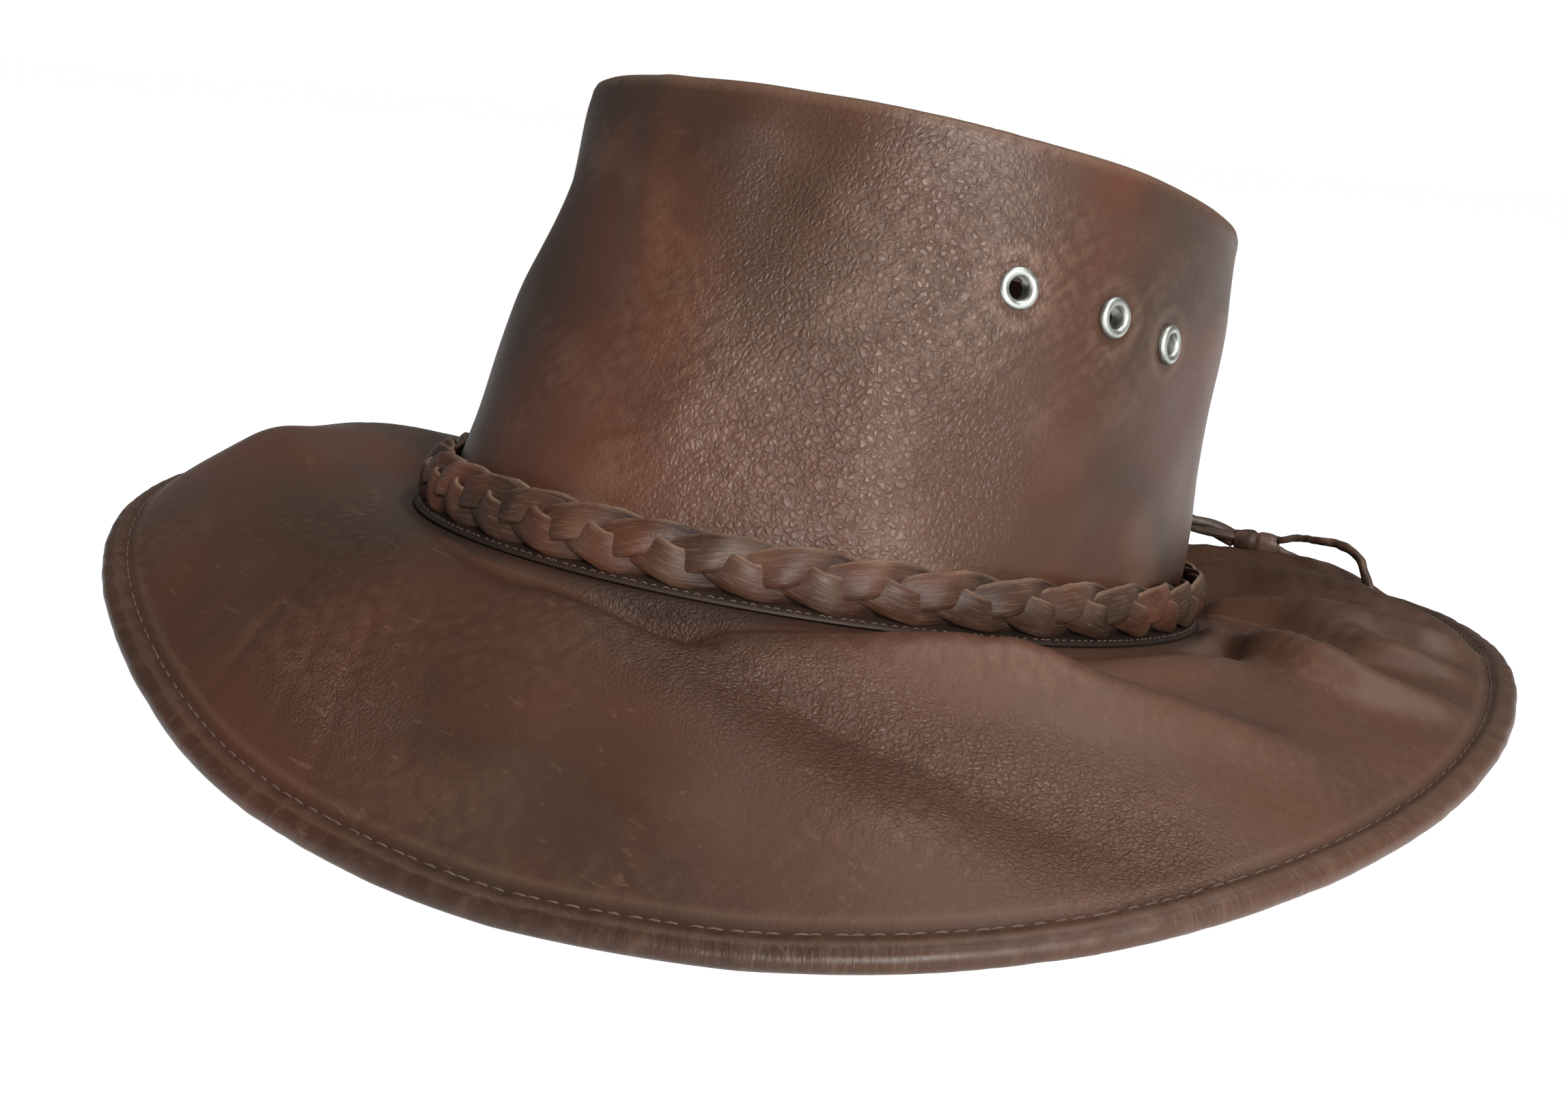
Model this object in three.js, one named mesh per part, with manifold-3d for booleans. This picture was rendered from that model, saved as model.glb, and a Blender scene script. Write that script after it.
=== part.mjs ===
import * as THREE from "three";
import Module from "manifold-3d";

// A leather bush hat at rest. Millimetres; front -Y, the wearer's left +X, up +Z, the surface it rests on z = 0.
const lean = 8; // degrees the crown leans back
const footHeight = 33.4; // middle of the crown's foot over the surface
const centreX = 0; // middle of the whole hat, put at the origin
const centreY = 5.55;
const leather = 2; // crown wall
const brimLeather = 2.2;
const gap = 0.3; // between neighbouring pieces
const footHalfWidth = 86.5; // crown wall at its foot, outside
const footHalfLength = 103;
const flangeReach = 6.8; // foot flange that lies on the brim
const flangeEdge = 1.1; // its thickness at the edge, skived thin
const rimHalfWidth = 80.6; // crown's top edge
const rimFront = 72;
const rimBack = 106;
const crownHeight = 108; // at the front
const crownFall = 11; // the top drops this much towards the back
const topDent = 17; // depth of the crease in the crown's top
const hemHalfWidth = 166; // to the middle of the rolled hem
const hemHalfLength = 174.6;
const hemBack = 4.5; // the hem oval's centre sits this far back
const hemLift = 36; // highest the hem stands over its resting height
const beadRadius = 2.4; // rolled hem
const braidHalfHeight = 6.2;
const braidHalfDepth = 2.9;
const braidLobes = 38;
const eyeletRadius = 4.85;
const eyeletHole = 2.45;
const barrelRadius = 2.95;

// The hem round the hat. angle from the front towards the wearer's left; reach and height are shares of
// the hem oval and of hemLift; start and end tilt the brim where it leaves the crown and meets the hem.
const hemRows = [
  { angle: 0, reach: 0.988, height: 0.24, start: -0.02, end: -0.3 },
  { angle: 15, reach: 0.983, height: 0.07, start: -0.06, end: -0.25 },
  { angle: 25, reach: 0.985, height: 0, start: -0.08, end: -0.22 },
  { angle: 40, reach: 0.993, height: 0, start: -0.1, end: -0.22 },
  { angle: 60, reach: 1, height: 0.12, start: -0.1, end: -0.2 },
  { angle: 75, reach: 1, height: 0.27, start: -0.1, end: -0.15 },
  { angle: 90, reach: 1, height: 0.42, start: -0.05, end: -0.1 },
  { angle: 105, reach: 1, height: 0.56, start: 0.02, end: -0.1 },
  { angle: 120, reach: 1, height: 0.64, start: 0.08, end: -0.15 },
  { angle: 135, reach: 1, height: 0.58, start: 0.12, end: -0.3 },
  { angle: 150, reach: 1, height: 0.45, start: 0.25, end: -0.5 },
  { angle: 163, reach: 1, height: 0.19, start: 0.3, end: -0.55 },
  { angle: 175, reach: 1, height: 0, start: 0.25, end: -0.5 },
  { angle: 187, reach: 1, height: 0, start: 0.2, end: -0.4 },
  { angle: 205, reach: 1, height: 0.27, start: 0.15, end: -0.3 },
  { angle: 222, reach: 1, height: 0.32, start: 0.1, end: -0.2 },
  { angle: 240, reach: 1, height: 0, start: 0.1, end: -0.3 },
  { angle: 254, reach: 1, height: 0, start: 0.12, end: -0.45 },
  { angle: 270, reach: 1, height: 0.3, start: 0.3, end: -0.7 },
  { angle: 285, reach: 1, height: 0.64, start: 0.44, end: -0.88 },
  { angle: 300, reach: 1, height: 0.84, start: 0.5, end: -1 },
  { angle: 315, reach: 1.012, height: 0.93, start: 0.4, end: -0.85 },
  { angle: 330, reach: 1.012, height: 0.86, start: 0.2, end: -0.5 },
  { angle: 345, reach: 1.0, height: 0.58, start: 0.06, end: -0.35 },
];

// Folds in the brim: each lifts (or sinks) the leather by lift along a path of [angle, share of the brim's width].
const foldRows = [
  { name: "near valley", width: 10, lift: -4.5, path: [[27, 0.07], [33, 0.2], [44, 0.35], [53, 0.51], [61, 0.65], [68, 0.82]] },
  { name: "near crest", width: 9, lift: 5.5, path: [[38, 0.1], [50, 0.11], [58, 0.15], [66, 0.25], [73, 0.37], [80, 0.49], [86, 0.64]] },
  { name: "gutter ridge", width: 5.5, lift: 3, path: [[66, 0.22], [75, 0.2], [85, 0.19], [95, 0.2], [102, 0.24]] },
  { name: "left hollow", width: 5, lift: -4, path: [[116, 0.1], [109, 0.14], [103, 0.15]] },
  { name: "left ridge", width: 6.5, lift: 6.5, path: [[118, 0.05], [110, 0.24], [105, 0.44], [104, 0.62], [105.5, 0.86]] },
  { name: "left crease", width: 5, lift: 4, path: [[125, 0.36], [116, 0.6], [114.5, 0.86]] },
  { name: "rear left ridge", width: 6.5, lift: 6.5, path: [[137, 0.03], [131, 0.27], [124.5, 0.51], [121.5, 0.77], [122, 0.9]] },
  { name: "rear left crest", width: 7, lift: 6, path: [[158, 0.1], [151, 0.34], [143, 0.5], [135, 0.68], [131, 0.86]] },
  { name: "rear ridge", width: 10, lift: 6, path: [[177, 0.15], [168, 0.38], [157, 0.6], [148, 0.83]] },
  { name: "rear right ridge", width: 9, lift: 4, path: [[206, 0.12], [214, 0.45], [220, 0.85]] },
  { name: "right ridge", width: 9, lift: 3.5, path: [[262, 0.15], [255, 0.5], [246, 0.8]] },
  { name: "right crease", width: 8, lift: -3, path: [[245, 0.1], [238, 0.45], [228, 0.8]] },
];

// The crown's top edge: out and height are shares that turn the plain oval into the rounded, pinched one.
const rimRows = [
  { angle: 0, out: 1, height: 1 },
  { angle: 30, out: 1.02, height: 1 },
  { angle: 60, out: 1.01, height: 1 },
  { angle: 90, out: 1, height: 1.005 },
  { angle: 120, out: 1, height: 1.005 },
  { angle: 150, out: 1, height: 0.995 },
  { angle: 180, out: 1, height: 0.99 },
  { angle: 210, out: 1, height: 0.995 },
  { angle: 240, out: 1, height: 1 },
  { angle: 270, out: 1, height: 1 },
  { angle: 300, out: 1.02, height: 1 },
  { angle: 330, out: 1.03, height: 1 },
];

// Dents pressed into the crown wall: where (angle, share of height), how deep, half sizes along and up.
const dentRows = [
  { name: "left pinch", angle: 23, height: 0.86, depth: 4.5, along: 14, up: 18 },
  { name: "right pinch", angle: -37, height: 0.72, depth: 2.5, along: 17, up: 20 },
  { name: "front hollow", angle: 0, height: 0.45, depth: 1.5, along: 30, up: 25 },
];

// The soft upright ridge at the front left that the pinch leaves beside it, as a path of [angle, share of height].
const ridgeRow = { width: 6, lift: 1.6, path: [[-5.5, 0.97], [-3, 0.86], [1, 0.72], [7, 0.55], [15, 0.4], [21, 0.3]] };

const degrees = Math.PI / 180;

// Smooth value of a column at an angle, through rows that go once round.
function around(rows, column, angle) {
  const turn = ((angle % 360) + 360) % 360;
  const count = rows.length;
  let last = count - 1;
  while (last > 0 && rows[last].angle > turn) last -= 1;
  const at = (step) => {
    const i = last + step;
    const row = rows[((i % count) + count) % count];
    return [row.angle + 360 * Math.floor(i / count), row[column]];
  };
  const [a, b, c, d] = [at(-1), at(0), at(1), at(2)];
  const span = c[0] - b[0];
  const t = (turn - b[0]) / span;
  const slopeB = (c[1] - a[1]) / (c[0] - a[0]);
  const slopeC = (d[1] - b[1]) / (d[0] - b[0]);
  return (
    (2 * t ** 3 - 3 * t ** 2 + 1) * b[1] +
    (t ** 3 - 2 * t ** 2 + t) * span * slopeB +
    (3 * t ** 2 - 2 * t ** 3) * c[1] +
    (t ** 3 - t ** 2) * span * slopeC
  );
}

// From the leaning crown's own frame, with its foot at z = 0, to the hat's.
function leaned(x, y, z) {
  const c = Math.cos(lean * degrees);
  const s = Math.sin(lean * degrees);
  return new THREE.Vector3(x, y * c + z * s, footHeight - y * s + z * c);
}

// A point of an oval and its outward normal, pushed out by reach.
function ovalPoint(angle, halfWidth, front, back, reach) {
  const t = angle * degrees;
  const half = Math.cos(t) > 0 ? front : back;
  const normal = new THREE.Vector2(Math.sin(t) / halfWidth, -Math.cos(t) / half).normalize();
  return [halfWidth * Math.sin(t) + normal.x * reach, -half * Math.cos(t) + normal.y * reach];
}

function dentAt(angle, share) {
  let depth = 0;
  for (const row of dentRows) {
    const off = ((((angle - row.angle + 180) % 360) + 360) % 360) - 180;
    const along = (off * degrees * 90) / row.along;
    const up = ((share - row.height) * crownHeight) / row.up;
    depth += row.depth * Math.exp(-along * along - up * up);
  }
  return depth - ridgeAt(angle, share);
}

function ridgeAt(angle, share) {
  const { width, lift, path } = ridgeRow;
  const off = ((((angle - 8 + 180) % 360) + 360) % 360) - 180;
  const p = new THREE.Vector2(off * degrees * 90, share * crownHeight);
  let near = 1e9;
  for (let k = 0; k + 1 < path.length; k++) {
    const [from, to] = [path[k], path[k + 1]].map(([a, h]) => new THREE.Vector2((a - 8) * degrees * 90, h * crownHeight));
    const leg = to.sub(from);
    const t = Math.min(1, Math.max(0, p.clone().sub(from).dot(leg) / leg.lengthSq()));
    near = Math.min(near, p.distanceTo(from.addScaledVector(leg, t)));
  }
  return lift * Math.exp(-((near / width) ** 2));
}

// Crown wall at an angle and a share of its height, pushed out from its outer face by reach.
function crownPoint(angle, share, reach, drop = 0) {
  const out = around(rimRows, "out", angle);
  const high = around(rimRows, "height", angle);
  const push = reach - dentAt(angle, share);
  const foot = ovalPoint(angle, footHalfWidth, footHalfLength, footHalfLength, push);
  const rim = ovalPoint(angle, rimHalfWidth * out, rimFront * out, rimBack * out, push);
  const x = foot[0] + (rim[0] - foot[0]) * share;
  const y = foot[1] + (rim[1] - foot[1]) * share;
  const back = (rim[1] + rimFront) / (rimFront + rimBack);
  const top = (crownHeight - crownFall * back) * high;
  return leaned(x, y, (top - drop) * share);
}

// Crown top inside the rim: share 1 at the rim, 0 at the middle.
function topPoint(angle, share, drop) {
  const rim = crownPoint(angle, 1, -3.4, 0);
  const middle = leaned(0, 14, crownHeight - crownFall / 2);
  const point = middle.clone().lerp(rim, share);
  const long = Math.abs(Math.cos(angle * degrees));
  const depth = topDent * (1 - share ** (2.2 + 1.6 * long));
  const axis = leaned(0, 0, 1).sub(leaned(0, 0, 0));
  return point.addScaledVector(axis, -depth - drop);
}

function foldAt(angle, share) {
  const inner = 105;
  const width = 72;
  let lift = 0;
  for (const row of foldRows) {
    let near = 1e9;
    let along = 0;
    const count = row.path.length - 1;
    for (let k = 0; k < count; k++) {
      const [[a0, s0], [a1, s1]] = [row.path[k], row.path[k + 1]];
      const middle = (a0 + a1) / 2;
      const off = ((((angle - middle + 180) % 360) + 360) % 360) - 180;
      const p = new THREE.Vector2(off * degrees * (inner + width * share), width * share);
      const from = new THREE.Vector2((a0 - middle) * degrees * (inner + width * s0), width * s0);
      const to = new THREE.Vector2((a1 - middle) * degrees * (inner + width * s1), width * s1);
      const leg = to.clone().sub(from);
      const t = Math.min(1, Math.max(0, p.clone().sub(from).dot(leg) / leg.lengthSq()));
      const distance = p.distanceTo(from.addScaledVector(leg, t));
      if (distance < near) {
        near = distance;
        along = (k + t) / count;
      }
    }
    const taper = Math.sin(Math.PI * (0.12 + 0.8 * along)) ** 0.7;
    lift += row.lift * taper * Math.exp(-((near / row.width) ** 2));
  }
  const edge = (t) => Math.min(1, Math.max(0, t));
  return lift * edge(share / 0.07) * edge((1 - share) / 0.14);
}

const innerReach = flangeReach + 0.6; // the brim lies flat under the flange this far out
const midDepth = gap + brimLeather / 2;

// Middle of the brim's leather: share -1 at the head opening, 0 at the flange's edge, 1 at the hem.
function brimMiddle(angle, share) {
  if (share < 0) {
    const reach = -leather * -share + innerReach * (1 + share);
    const [x, y] = ovalPoint(angle, footHalfWidth, footHalfLength, footHalfLength, reach);
    return leaned(x, y, -midDepth);
  }
  const [x, y] = ovalPoint(angle, footHalfWidth, footHalfLength, footHalfLength, innerReach);
  const inner = leaned(x, y, -midDepth);
  const reach = around(hemRows, "reach", angle);
  const t = angle * degrees;
  const rest = beadRadius * Math.cos(25 * degrees);
  const hem = new THREE.Vector3(
    hemHalfWidth * reach * Math.sin(t),
    hemBack - hemHalfLength * reach * Math.cos(t),
    rest + hemLift * Math.max(0, around(hemRows, "height", angle)),
  );
  const run = hem.clone().sub(inner);
  const width = Math.hypot(run.x, run.y);
  const bandSlope = (-Math.tan(lean * degrees) * run.y) / width;
  const slopeIn = bandSlope + around(hemRows, "start", angle);
  const slopeOut = run.z / width + around(hemRows, "end", angle);
  const s = share;
  const z =
    (2 * s ** 3 - 3 * s ** 2 + 1) * inner.z +
    (s ** 3 - 2 * s ** 2 + s) * width * slopeIn +
    (3 * s ** 2 - 2 * s ** 3) * hem.z +
    (s ** 3 - s ** 2) * width * slopeOut;
  return new THREE.Vector3(inner.x + run.x * s, inner.y + run.y * s, z + foldAt(angle, s));
}

function brimSkin(angle, share, side) {
  const step = 0.01;
  const low = share < 0 ? Math.min(share, -step) : Math.min(share, 1 - step);
  const p = brimMiddle(angle, share);
  const across = brimMiddle(angle, low + step).sub(brimMiddle(angle, low));
  const along = brimMiddle(angle + 1, share).sub(brimMiddle(angle - 1, share));
  const normal = along.cross(across).normalize();
  if (normal.z < 0) normal.negate();
  return p.addScaledVector(normal, side);
}

// A closed solid from rings of equal length: the rings close on each other, or each end closes on a pole.
function ringSolid(rings, poles) {
  const count = rings[0].length;
  const points = rings.flat();
  const index = [];
  const total = rings.length;
  const last = poles ? total - 1 : total;
  for (let r = 0; r < last; r++)
    for (let i = 0; i < count; i++) {
      const a = r * count + i;
      const b = r * count + ((i + 1) % count);
      const c = ((r + 1) % total) * count + i;
      const d = ((r + 1) % total) * count + ((i + 1) % count);
      index.push(a, b, d, a, d, c);
    }
  if (poles) {
    const first = points.push(poles[0]) - 1;
    const end = points.push(poles[1]) - 1;
    for (let i = 0; i < count; i++) {
      index.push(first, (i + 1) % count, i);
      index.push(end, (total - 1) * count + i, (total - 1) * count + ((i + 1) % count));
    }
  }
  const geometry = new THREE.BufferGeometry();
  geometry.setAttribute("position", new THREE.Float32BufferAttribute(points.flatMap((p) => [p.x, p.y, p.z]), 3));
  geometry.setIndex(index);
  return facedOut(geometry);
}

// Signed volume decides which way the faces look.
function facedOut(geometry) {
  const p = geometry.getAttribute("position");
  const index = geometry.index.array;
  const [a, b, c] = [new THREE.Vector3(), new THREE.Vector3(), new THREE.Vector3()];
  let volume = 0;
  for (let i = 0; i < index.length; i += 3) {
    a.fromBufferAttribute(p, index[i]);
    b.fromBufferAttribute(p, index[i + 1]);
    c.fromBufferAttribute(p, index[i + 2]);
    volume += a.dot(b.cross(c));
  }
  if (volume < 0) for (let i = 0; i < index.length; i += 3) [index[i + 1], index[i + 2]] = [index[i + 2], index[i + 1]];
  geometry.computeVertexNormals();
  return geometry;
}

const hat = new THREE.Group();
hat.name = "bush_hat";

function add(name, geometry, look) {
  geometry.translate(-centreX, -centreY, 0);
  const mesh = new THREE.Mesh(geometry, new THREE.MeshStandardMaterial(look));
  mesh.name = name;
  hat.add(mesh);
}

const hide = { color: 0x5f3a2c, roughness: 0.5, metalness: 0 };
const metal = { color: 0xc9cbc6, roughness: 0.3, metalness: 1 };

// Brim: one leather sheet with its folds and the rolled hem.
const brimTurns = 72;
const brimShares = [-1, 0, 0.08, 0.17, 0.27, 0.38, 0.5, 0.62, 0.74, 0.85, 0.915];
const beadAngles = [100, 55, 10, -30, -65, -115, -155];
const brimRings = [];
for (let i = 0; i < brimTurns; i++) {
  const angle = (360 * i) / brimTurns;
  const ring = brimShares.map((share) => brimSkin(angle, share, brimLeather / 2));
  const middle = brimMiddle(angle, 1);
  const t = angle * degrees;
  const out = new THREE.Vector3(Math.sin(t) / hemHalfWidth, -Math.cos(t) / hemHalfLength, 0).normalize();
  for (const turn of beadAngles) {
    const p = middle.clone().addScaledVector(out, beadRadius * Math.cos(turn * degrees));
    p.z += beadRadius * Math.sin(turn * degrees);
    ring.push(p);
  }
  for (const share of [...brimShares].reverse()) ring.push(brimSkin(angle, share, -brimLeather / 2));
  brimRings.push(ring);
}
add("brim", ringSolid(brimRings), hide);

// Crown: hollow wall, rounded rim, dented top and the flange stitched to the brim.
const crownTurns = 48;
const wallShares = [0.06, 0.18, 0.32, 0.46, 0.6, 0.72, 0.84, 0.94];
const topShares = [0.9, 0.68, 0.42, 0.18];
const crownRings = [];
const ringOf = (make) => Array.from({ length: crownTurns }, (_, i) => make((360 * i) / crownTurns));
const flangePoint = (reach, z) => (angle) => {
  const [x, y] = ovalPoint(angle, footHalfWidth, footHalfLength, footHalfLength, reach);
  return leaned(x, y, z);
};
for (const share of [...topShares].reverse()) crownRings.push(ringOf((a) => topPoint(a, share, 0)));
crownRings.push(ringOf((a) => topPoint(a, 1, 0)));
crownRings.push(ringOf((a) => crownPoint(a, 1, -1, 1.2)));
crownRings.push(ringOf((a) => crownPoint(a, 1, 0, 4)));
for (const share of [...wallShares].reverse()) crownRings.push(ringOf((a) => crownPoint(a, share, 0)));
crownRings.push(ringOf(flangePoint(1.2, 2.4)));
crownRings.push(ringOf(flangePoint(flangeReach, flangeEdge)));
crownRings.push(ringOf(flangePoint(flangeReach, 0)));
crownRings.push(ringOf(flangePoint(-leather, 0)));
for (const share of [0.06, 0.2, 0.36, 0.52, 0.66, 0.8, 0.92]) crownRings.push(ringOf((a) => crownPoint(a, share, -leather)));
crownRings.push(ringOf((a) => crownPoint(a, 1, -leather, 4.4)));
for (const share of [0.95, 0.68, 0.42, 0.18]) crownRings.push(ringOf((a) => topPoint(a, share, leather)));
const crownShell = ringSolid(crownRings, [topPoint(0, 0, 0), topPoint(0, 0, leather)]);

// Vent eyelets: three on each side. angle from the front, share of the crown's height.
const eyeletRows = [
  { name: "eyelet_left_front", angle: 63, share: 0.702 },
  { name: "eyelet_left_middle", angle: 82.2, share: 0.689 },
  { name: "eyelet_left_rear", angle: 97, share: 0.665 },
  { name: "eyelet_right_front", angle: -63, share: 0.702 },
  { name: "eyelet_right_middle", angle: -82.2, share: 0.689 },
  { name: "eyelet_right_rear", angle: -97, share: 0.665 },
];

function eyeletFrame(row) {
  const p = crownPoint(row.angle, row.share, 0);
  const up = crownPoint(row.angle, row.share + 0.03, 0).sub(crownPoint(row.angle, row.share - 0.03, 0));
  const along = crownPoint(row.angle + 2, row.share, 0).sub(crownPoint(row.angle - 2, row.share, 0));
  const normal = along.cross(up).normalize();
  if (normal.dot(new THREE.Vector3(p.x, p.y, 0)) < 0) normal.negate();
  return { p, turn: new THREE.Quaternion().setFromUnitVectors(new THREE.Vector3(0, 1, 0), normal) };
}

const wasm = await Module();
wasm.setup();

function toManifold(geometry) {
  const mesh = new wasm.Mesh({
    numProp: 3,
    vertProperties: new Float32Array(geometry.getAttribute("position").array),
    triVerts: new Uint32Array(geometry.index.array),
  });
  return new wasm.Manifold(mesh);
}

function toGeometry(solid) {
  const mesh = solid.getMesh();
  const geometry = new THREE.BufferGeometry();
  geometry.setAttribute("position", new THREE.Float32BufferAttribute(mesh.vertProperties, 3));
  geometry.setIndex([...mesh.triVerts]);
  geometry.computeVertexNormals();
  return geometry;
}

let crownSolid = toManifold(crownShell);
for (const row of eyeletRows) {
  const { p, turn } = eyeletFrame(row);
  const drill = new THREE.CylinderGeometry(barrelRadius + gap, barrelRadius + gap, 16, 14);
  const index = new THREE.BufferGeometry();
  drill.applyQuaternion(turn).translate(p.x, p.y, p.z);
  // the cylinder's seam and caps share no vertices: weld them by position
  const seen = new Map();
  const spots = [];
  const faces = [];
  const at = drill.getAttribute("position");
  for (const i of drill.index.array) {
    const key = [at.getX(i), at.getY(i), at.getZ(i)].map((v) => v.toFixed(3)).join();
    if (!seen.has(key)) seen.set(key, spots.push(new THREE.Vector3().fromBufferAttribute(at, i)) - 1);
    faces.push(seen.get(key));
  }
  index.setAttribute("position", new THREE.Float32BufferAttribute(spots.flatMap((v) => [v.x, v.y, v.z]), 3));
  index.setIndex(faces);
  crownSolid = crownSolid.subtract(toManifold(index));
}
add("crown", toGeometry(crownSolid), hide);

// Each eyelet: rolled rim outside, barrel through the wall, clinched rim inside.
const eyeletProfile = [
  [eyeletHole, 0.8],
  [3.4, 1.3],
  [eyeletRadius, gap],
  [barrelRadius, gap],
  [barrelRadius, -leather - gap - 0.2],
  [4.3, -leather - gap - 0.2],
  [3.4, -leather - 1.3],
  [eyeletHole, -leather - 0.9],
];
for (const row of eyeletRows) {
  const { p, turn } = eyeletFrame(row);
  const rings = [];
  for (let i = 0; i < 14; i++) {
    const t = (2 * Math.PI * i) / 14;
    rings.push(
      eyeletProfile.map(([r, h]) => new THREE.Vector3(r * Math.cos(t), h, r * Math.sin(t)).applyQuaternion(turn).add(p)),
    );
  }
  add(row.name, ringSolid(rings), metal);
}

// Braided band: one solid with the plait's two rows of lobes, laid against the crown wall above the flange.
const braidSteps = braidLobes * 3;
const braidSection = [
  { depth: 0.35, height: 0.86, row: 1 },
  { depth: 1, height: 0.5, row: 1 },
  { depth: 0.72, height: 0, row: 0 },
  { depth: 1, height: -0.5, row: -1 },
  { depth: 0.35, height: -0.86, row: -1 },
];
const braidRings = [];
const braidFoot = leather + 0.7;
for (let i = 0; i < braidSteps; i++) {
  const angle = (360 * i) / braidSteps;
  const wave = Math.cos((2 * Math.PI * braidLobes * i) / braidSteps);
  const place = (depth, height) => {
    const z = braidFoot + braidHalfHeight * (1 + height);
    return crownPoint(angle, z / crownHeight, depth);
  };
  const ring = braidSection.map(({ depth, height, row }) =>
    place(gap + 1.1 + braidHalfDepth * (1 + depth) + 0.5 * row * wave, height * (1 + 0.08 * row * wave)),
  );
  ring.push(place(gap + 1.2, -0.8), place(gap + 0.5, 0.8));
  braidRings.push(ring);
}
add("braid", ringSolid(braidRings), hide);

// The tie at the back: twisted bundle, wrapped knot and two free thongs, lying on the brim.
// Each row: angle, share of the brim's width, height of the middle line over the brim's.
const bundleRows = [
  { angle: 176.5, share: 0.024, over: 13.6 },
  { angle: 175, share: 0.11, over: 13.5 },
  { angle: 170, share: 0.28, over: 12 },
  { angle: 165.5, share: 0.43, over: 7.6 },
  { angle: 162.4, share: 0.53, over: 4.8 },
];
const knotRows = [
  { angle: 162, share: 0.545, over: 4.9 },
  { angle: 160, share: 0.59, over: 4.9 },
  { angle: 158.5, share: 0.64, over: 4.9 },
];
const longThongRows = [
  { angle: 157.4, share: 0.635, over: 6 },
  { angle: 155, share: 0.66, over: 7.4 },
  { angle: 151.5, share: 0.67, over: 8.9 },
  { angle: 148.5, share: 0.71, over: 10.5 },
  { angle: 146, share: 0.75, over: 9.3 },
  { angle: 144.5, share: 0.76, over: 5.1 },
  { angle: 143, share: 0.76, over: 2.9 },
];
const shortThongRows = [
  { angle: 159, share: 0.675, over: 5 },
  { angle: 157.3, share: 0.735, over: 4.3 },
  { angle: 155.6, share: 0.79, over: 3.8 },
  { angle: 154.7, share: 0.85, over: 3.6 },
  { angle: 155.4, share: 0.9, over: 3.6 },
  { angle: 157.2, share: 0.935, over: 3.8 },
  { angle: 159, share: 0.953, over: 4 },
];
const bundleRadius = 2.7;
const knotRadius = 3.4;
const thongRadius = 1.3;

function tube(rows, radius, steps) {
  const route = rows.map(({ angle, share, over }) => {
    const p = brimMiddle(angle, share);
    p.z += over;
    return p;
  });
  const sides = 8;
  const shape = new THREE.Shape();
  for (let i = 0; i < sides; i++) {
    const t = (2 * Math.PI * i) / sides;
    const [x, y] = [radius * Math.cos(t), radius * Math.sin(t)];
    if (i === 0) shape.moveTo(x, y);
    else shape.lineTo(x, y);
  }
  shape.closePath();
  const path = new THREE.CatmullRomCurve3(route, false, "centripetal");
  return new THREE.ExtrudeGeometry(shape, { steps, extrudePath: path, bevelEnabled: false });
}

add("tie_bundle", tube(bundleRows, bundleRadius, 9), hide);
add("tie_knot", tube(knotRows, knotRadius, 3), hide);
add("tie_thong_long", tube(longThongRows, thongRadius, 16), hide);
add("tie_thong_short", tube(shortThongRows, thongRadius, 10), hide);

export default hat;
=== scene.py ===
import math
import bpy
import numpy as np
from mathutils import Matrix, Vector


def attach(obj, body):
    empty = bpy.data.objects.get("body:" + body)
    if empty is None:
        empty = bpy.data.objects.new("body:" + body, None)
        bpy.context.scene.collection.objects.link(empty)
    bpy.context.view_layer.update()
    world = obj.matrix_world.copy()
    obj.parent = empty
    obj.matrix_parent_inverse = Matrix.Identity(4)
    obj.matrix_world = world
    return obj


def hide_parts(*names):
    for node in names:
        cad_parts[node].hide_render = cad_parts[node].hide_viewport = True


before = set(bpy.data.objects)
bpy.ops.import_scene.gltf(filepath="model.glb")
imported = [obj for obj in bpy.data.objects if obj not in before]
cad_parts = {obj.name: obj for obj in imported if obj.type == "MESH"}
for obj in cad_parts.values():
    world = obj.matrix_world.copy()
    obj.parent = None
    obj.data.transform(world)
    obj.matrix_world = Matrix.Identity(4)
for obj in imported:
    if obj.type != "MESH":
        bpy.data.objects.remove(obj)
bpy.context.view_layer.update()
print("frame loaded:", len(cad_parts), "nodes")

# Leather bush hat. Metres, the frame of the CAD: front -Y, the wearer's left +X, up +Z.
hat = {
    "lean": 8,  # degrees the crown leans back
    "footHeight": 0.0334,
    "centreY": 0.00555,
    "leather": 0.002,
    "brimLeather": 0.0022,
    "gap": 0.0003,
    "footHalfWidth": 0.0865,
    "footHalfLength": 0.103,
    "flangeReach": 0.0068,
    "rimHalfWidth": 0.0806,
    "rimFront": 0.072,
    "rimBack": 0.106,
    "crownHeight": 0.108,
    "crownFall": 0.011,
    "topDent": 0.017,
    "hemHalfWidth": 0.166,
    "hemHalfLength": 0.1746,
    "hemBack": 0.0045,
    "hemLift": 0.036,
    "beadRadius": 0.0024,
    "beadRest": 25,  # degrees of the bead that are pressed flat where it rests
    "rimRound": 0.0034,
    "topMiddle": 0.014,  # towards the back
    "flangeGap": 0.0006,
    "wallRadius": 0.09,  # these three turn angles and shares on the wall and the brim into metres
    "brimRadius": 0.105,
    "brimWidth": 0.072,
}

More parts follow.
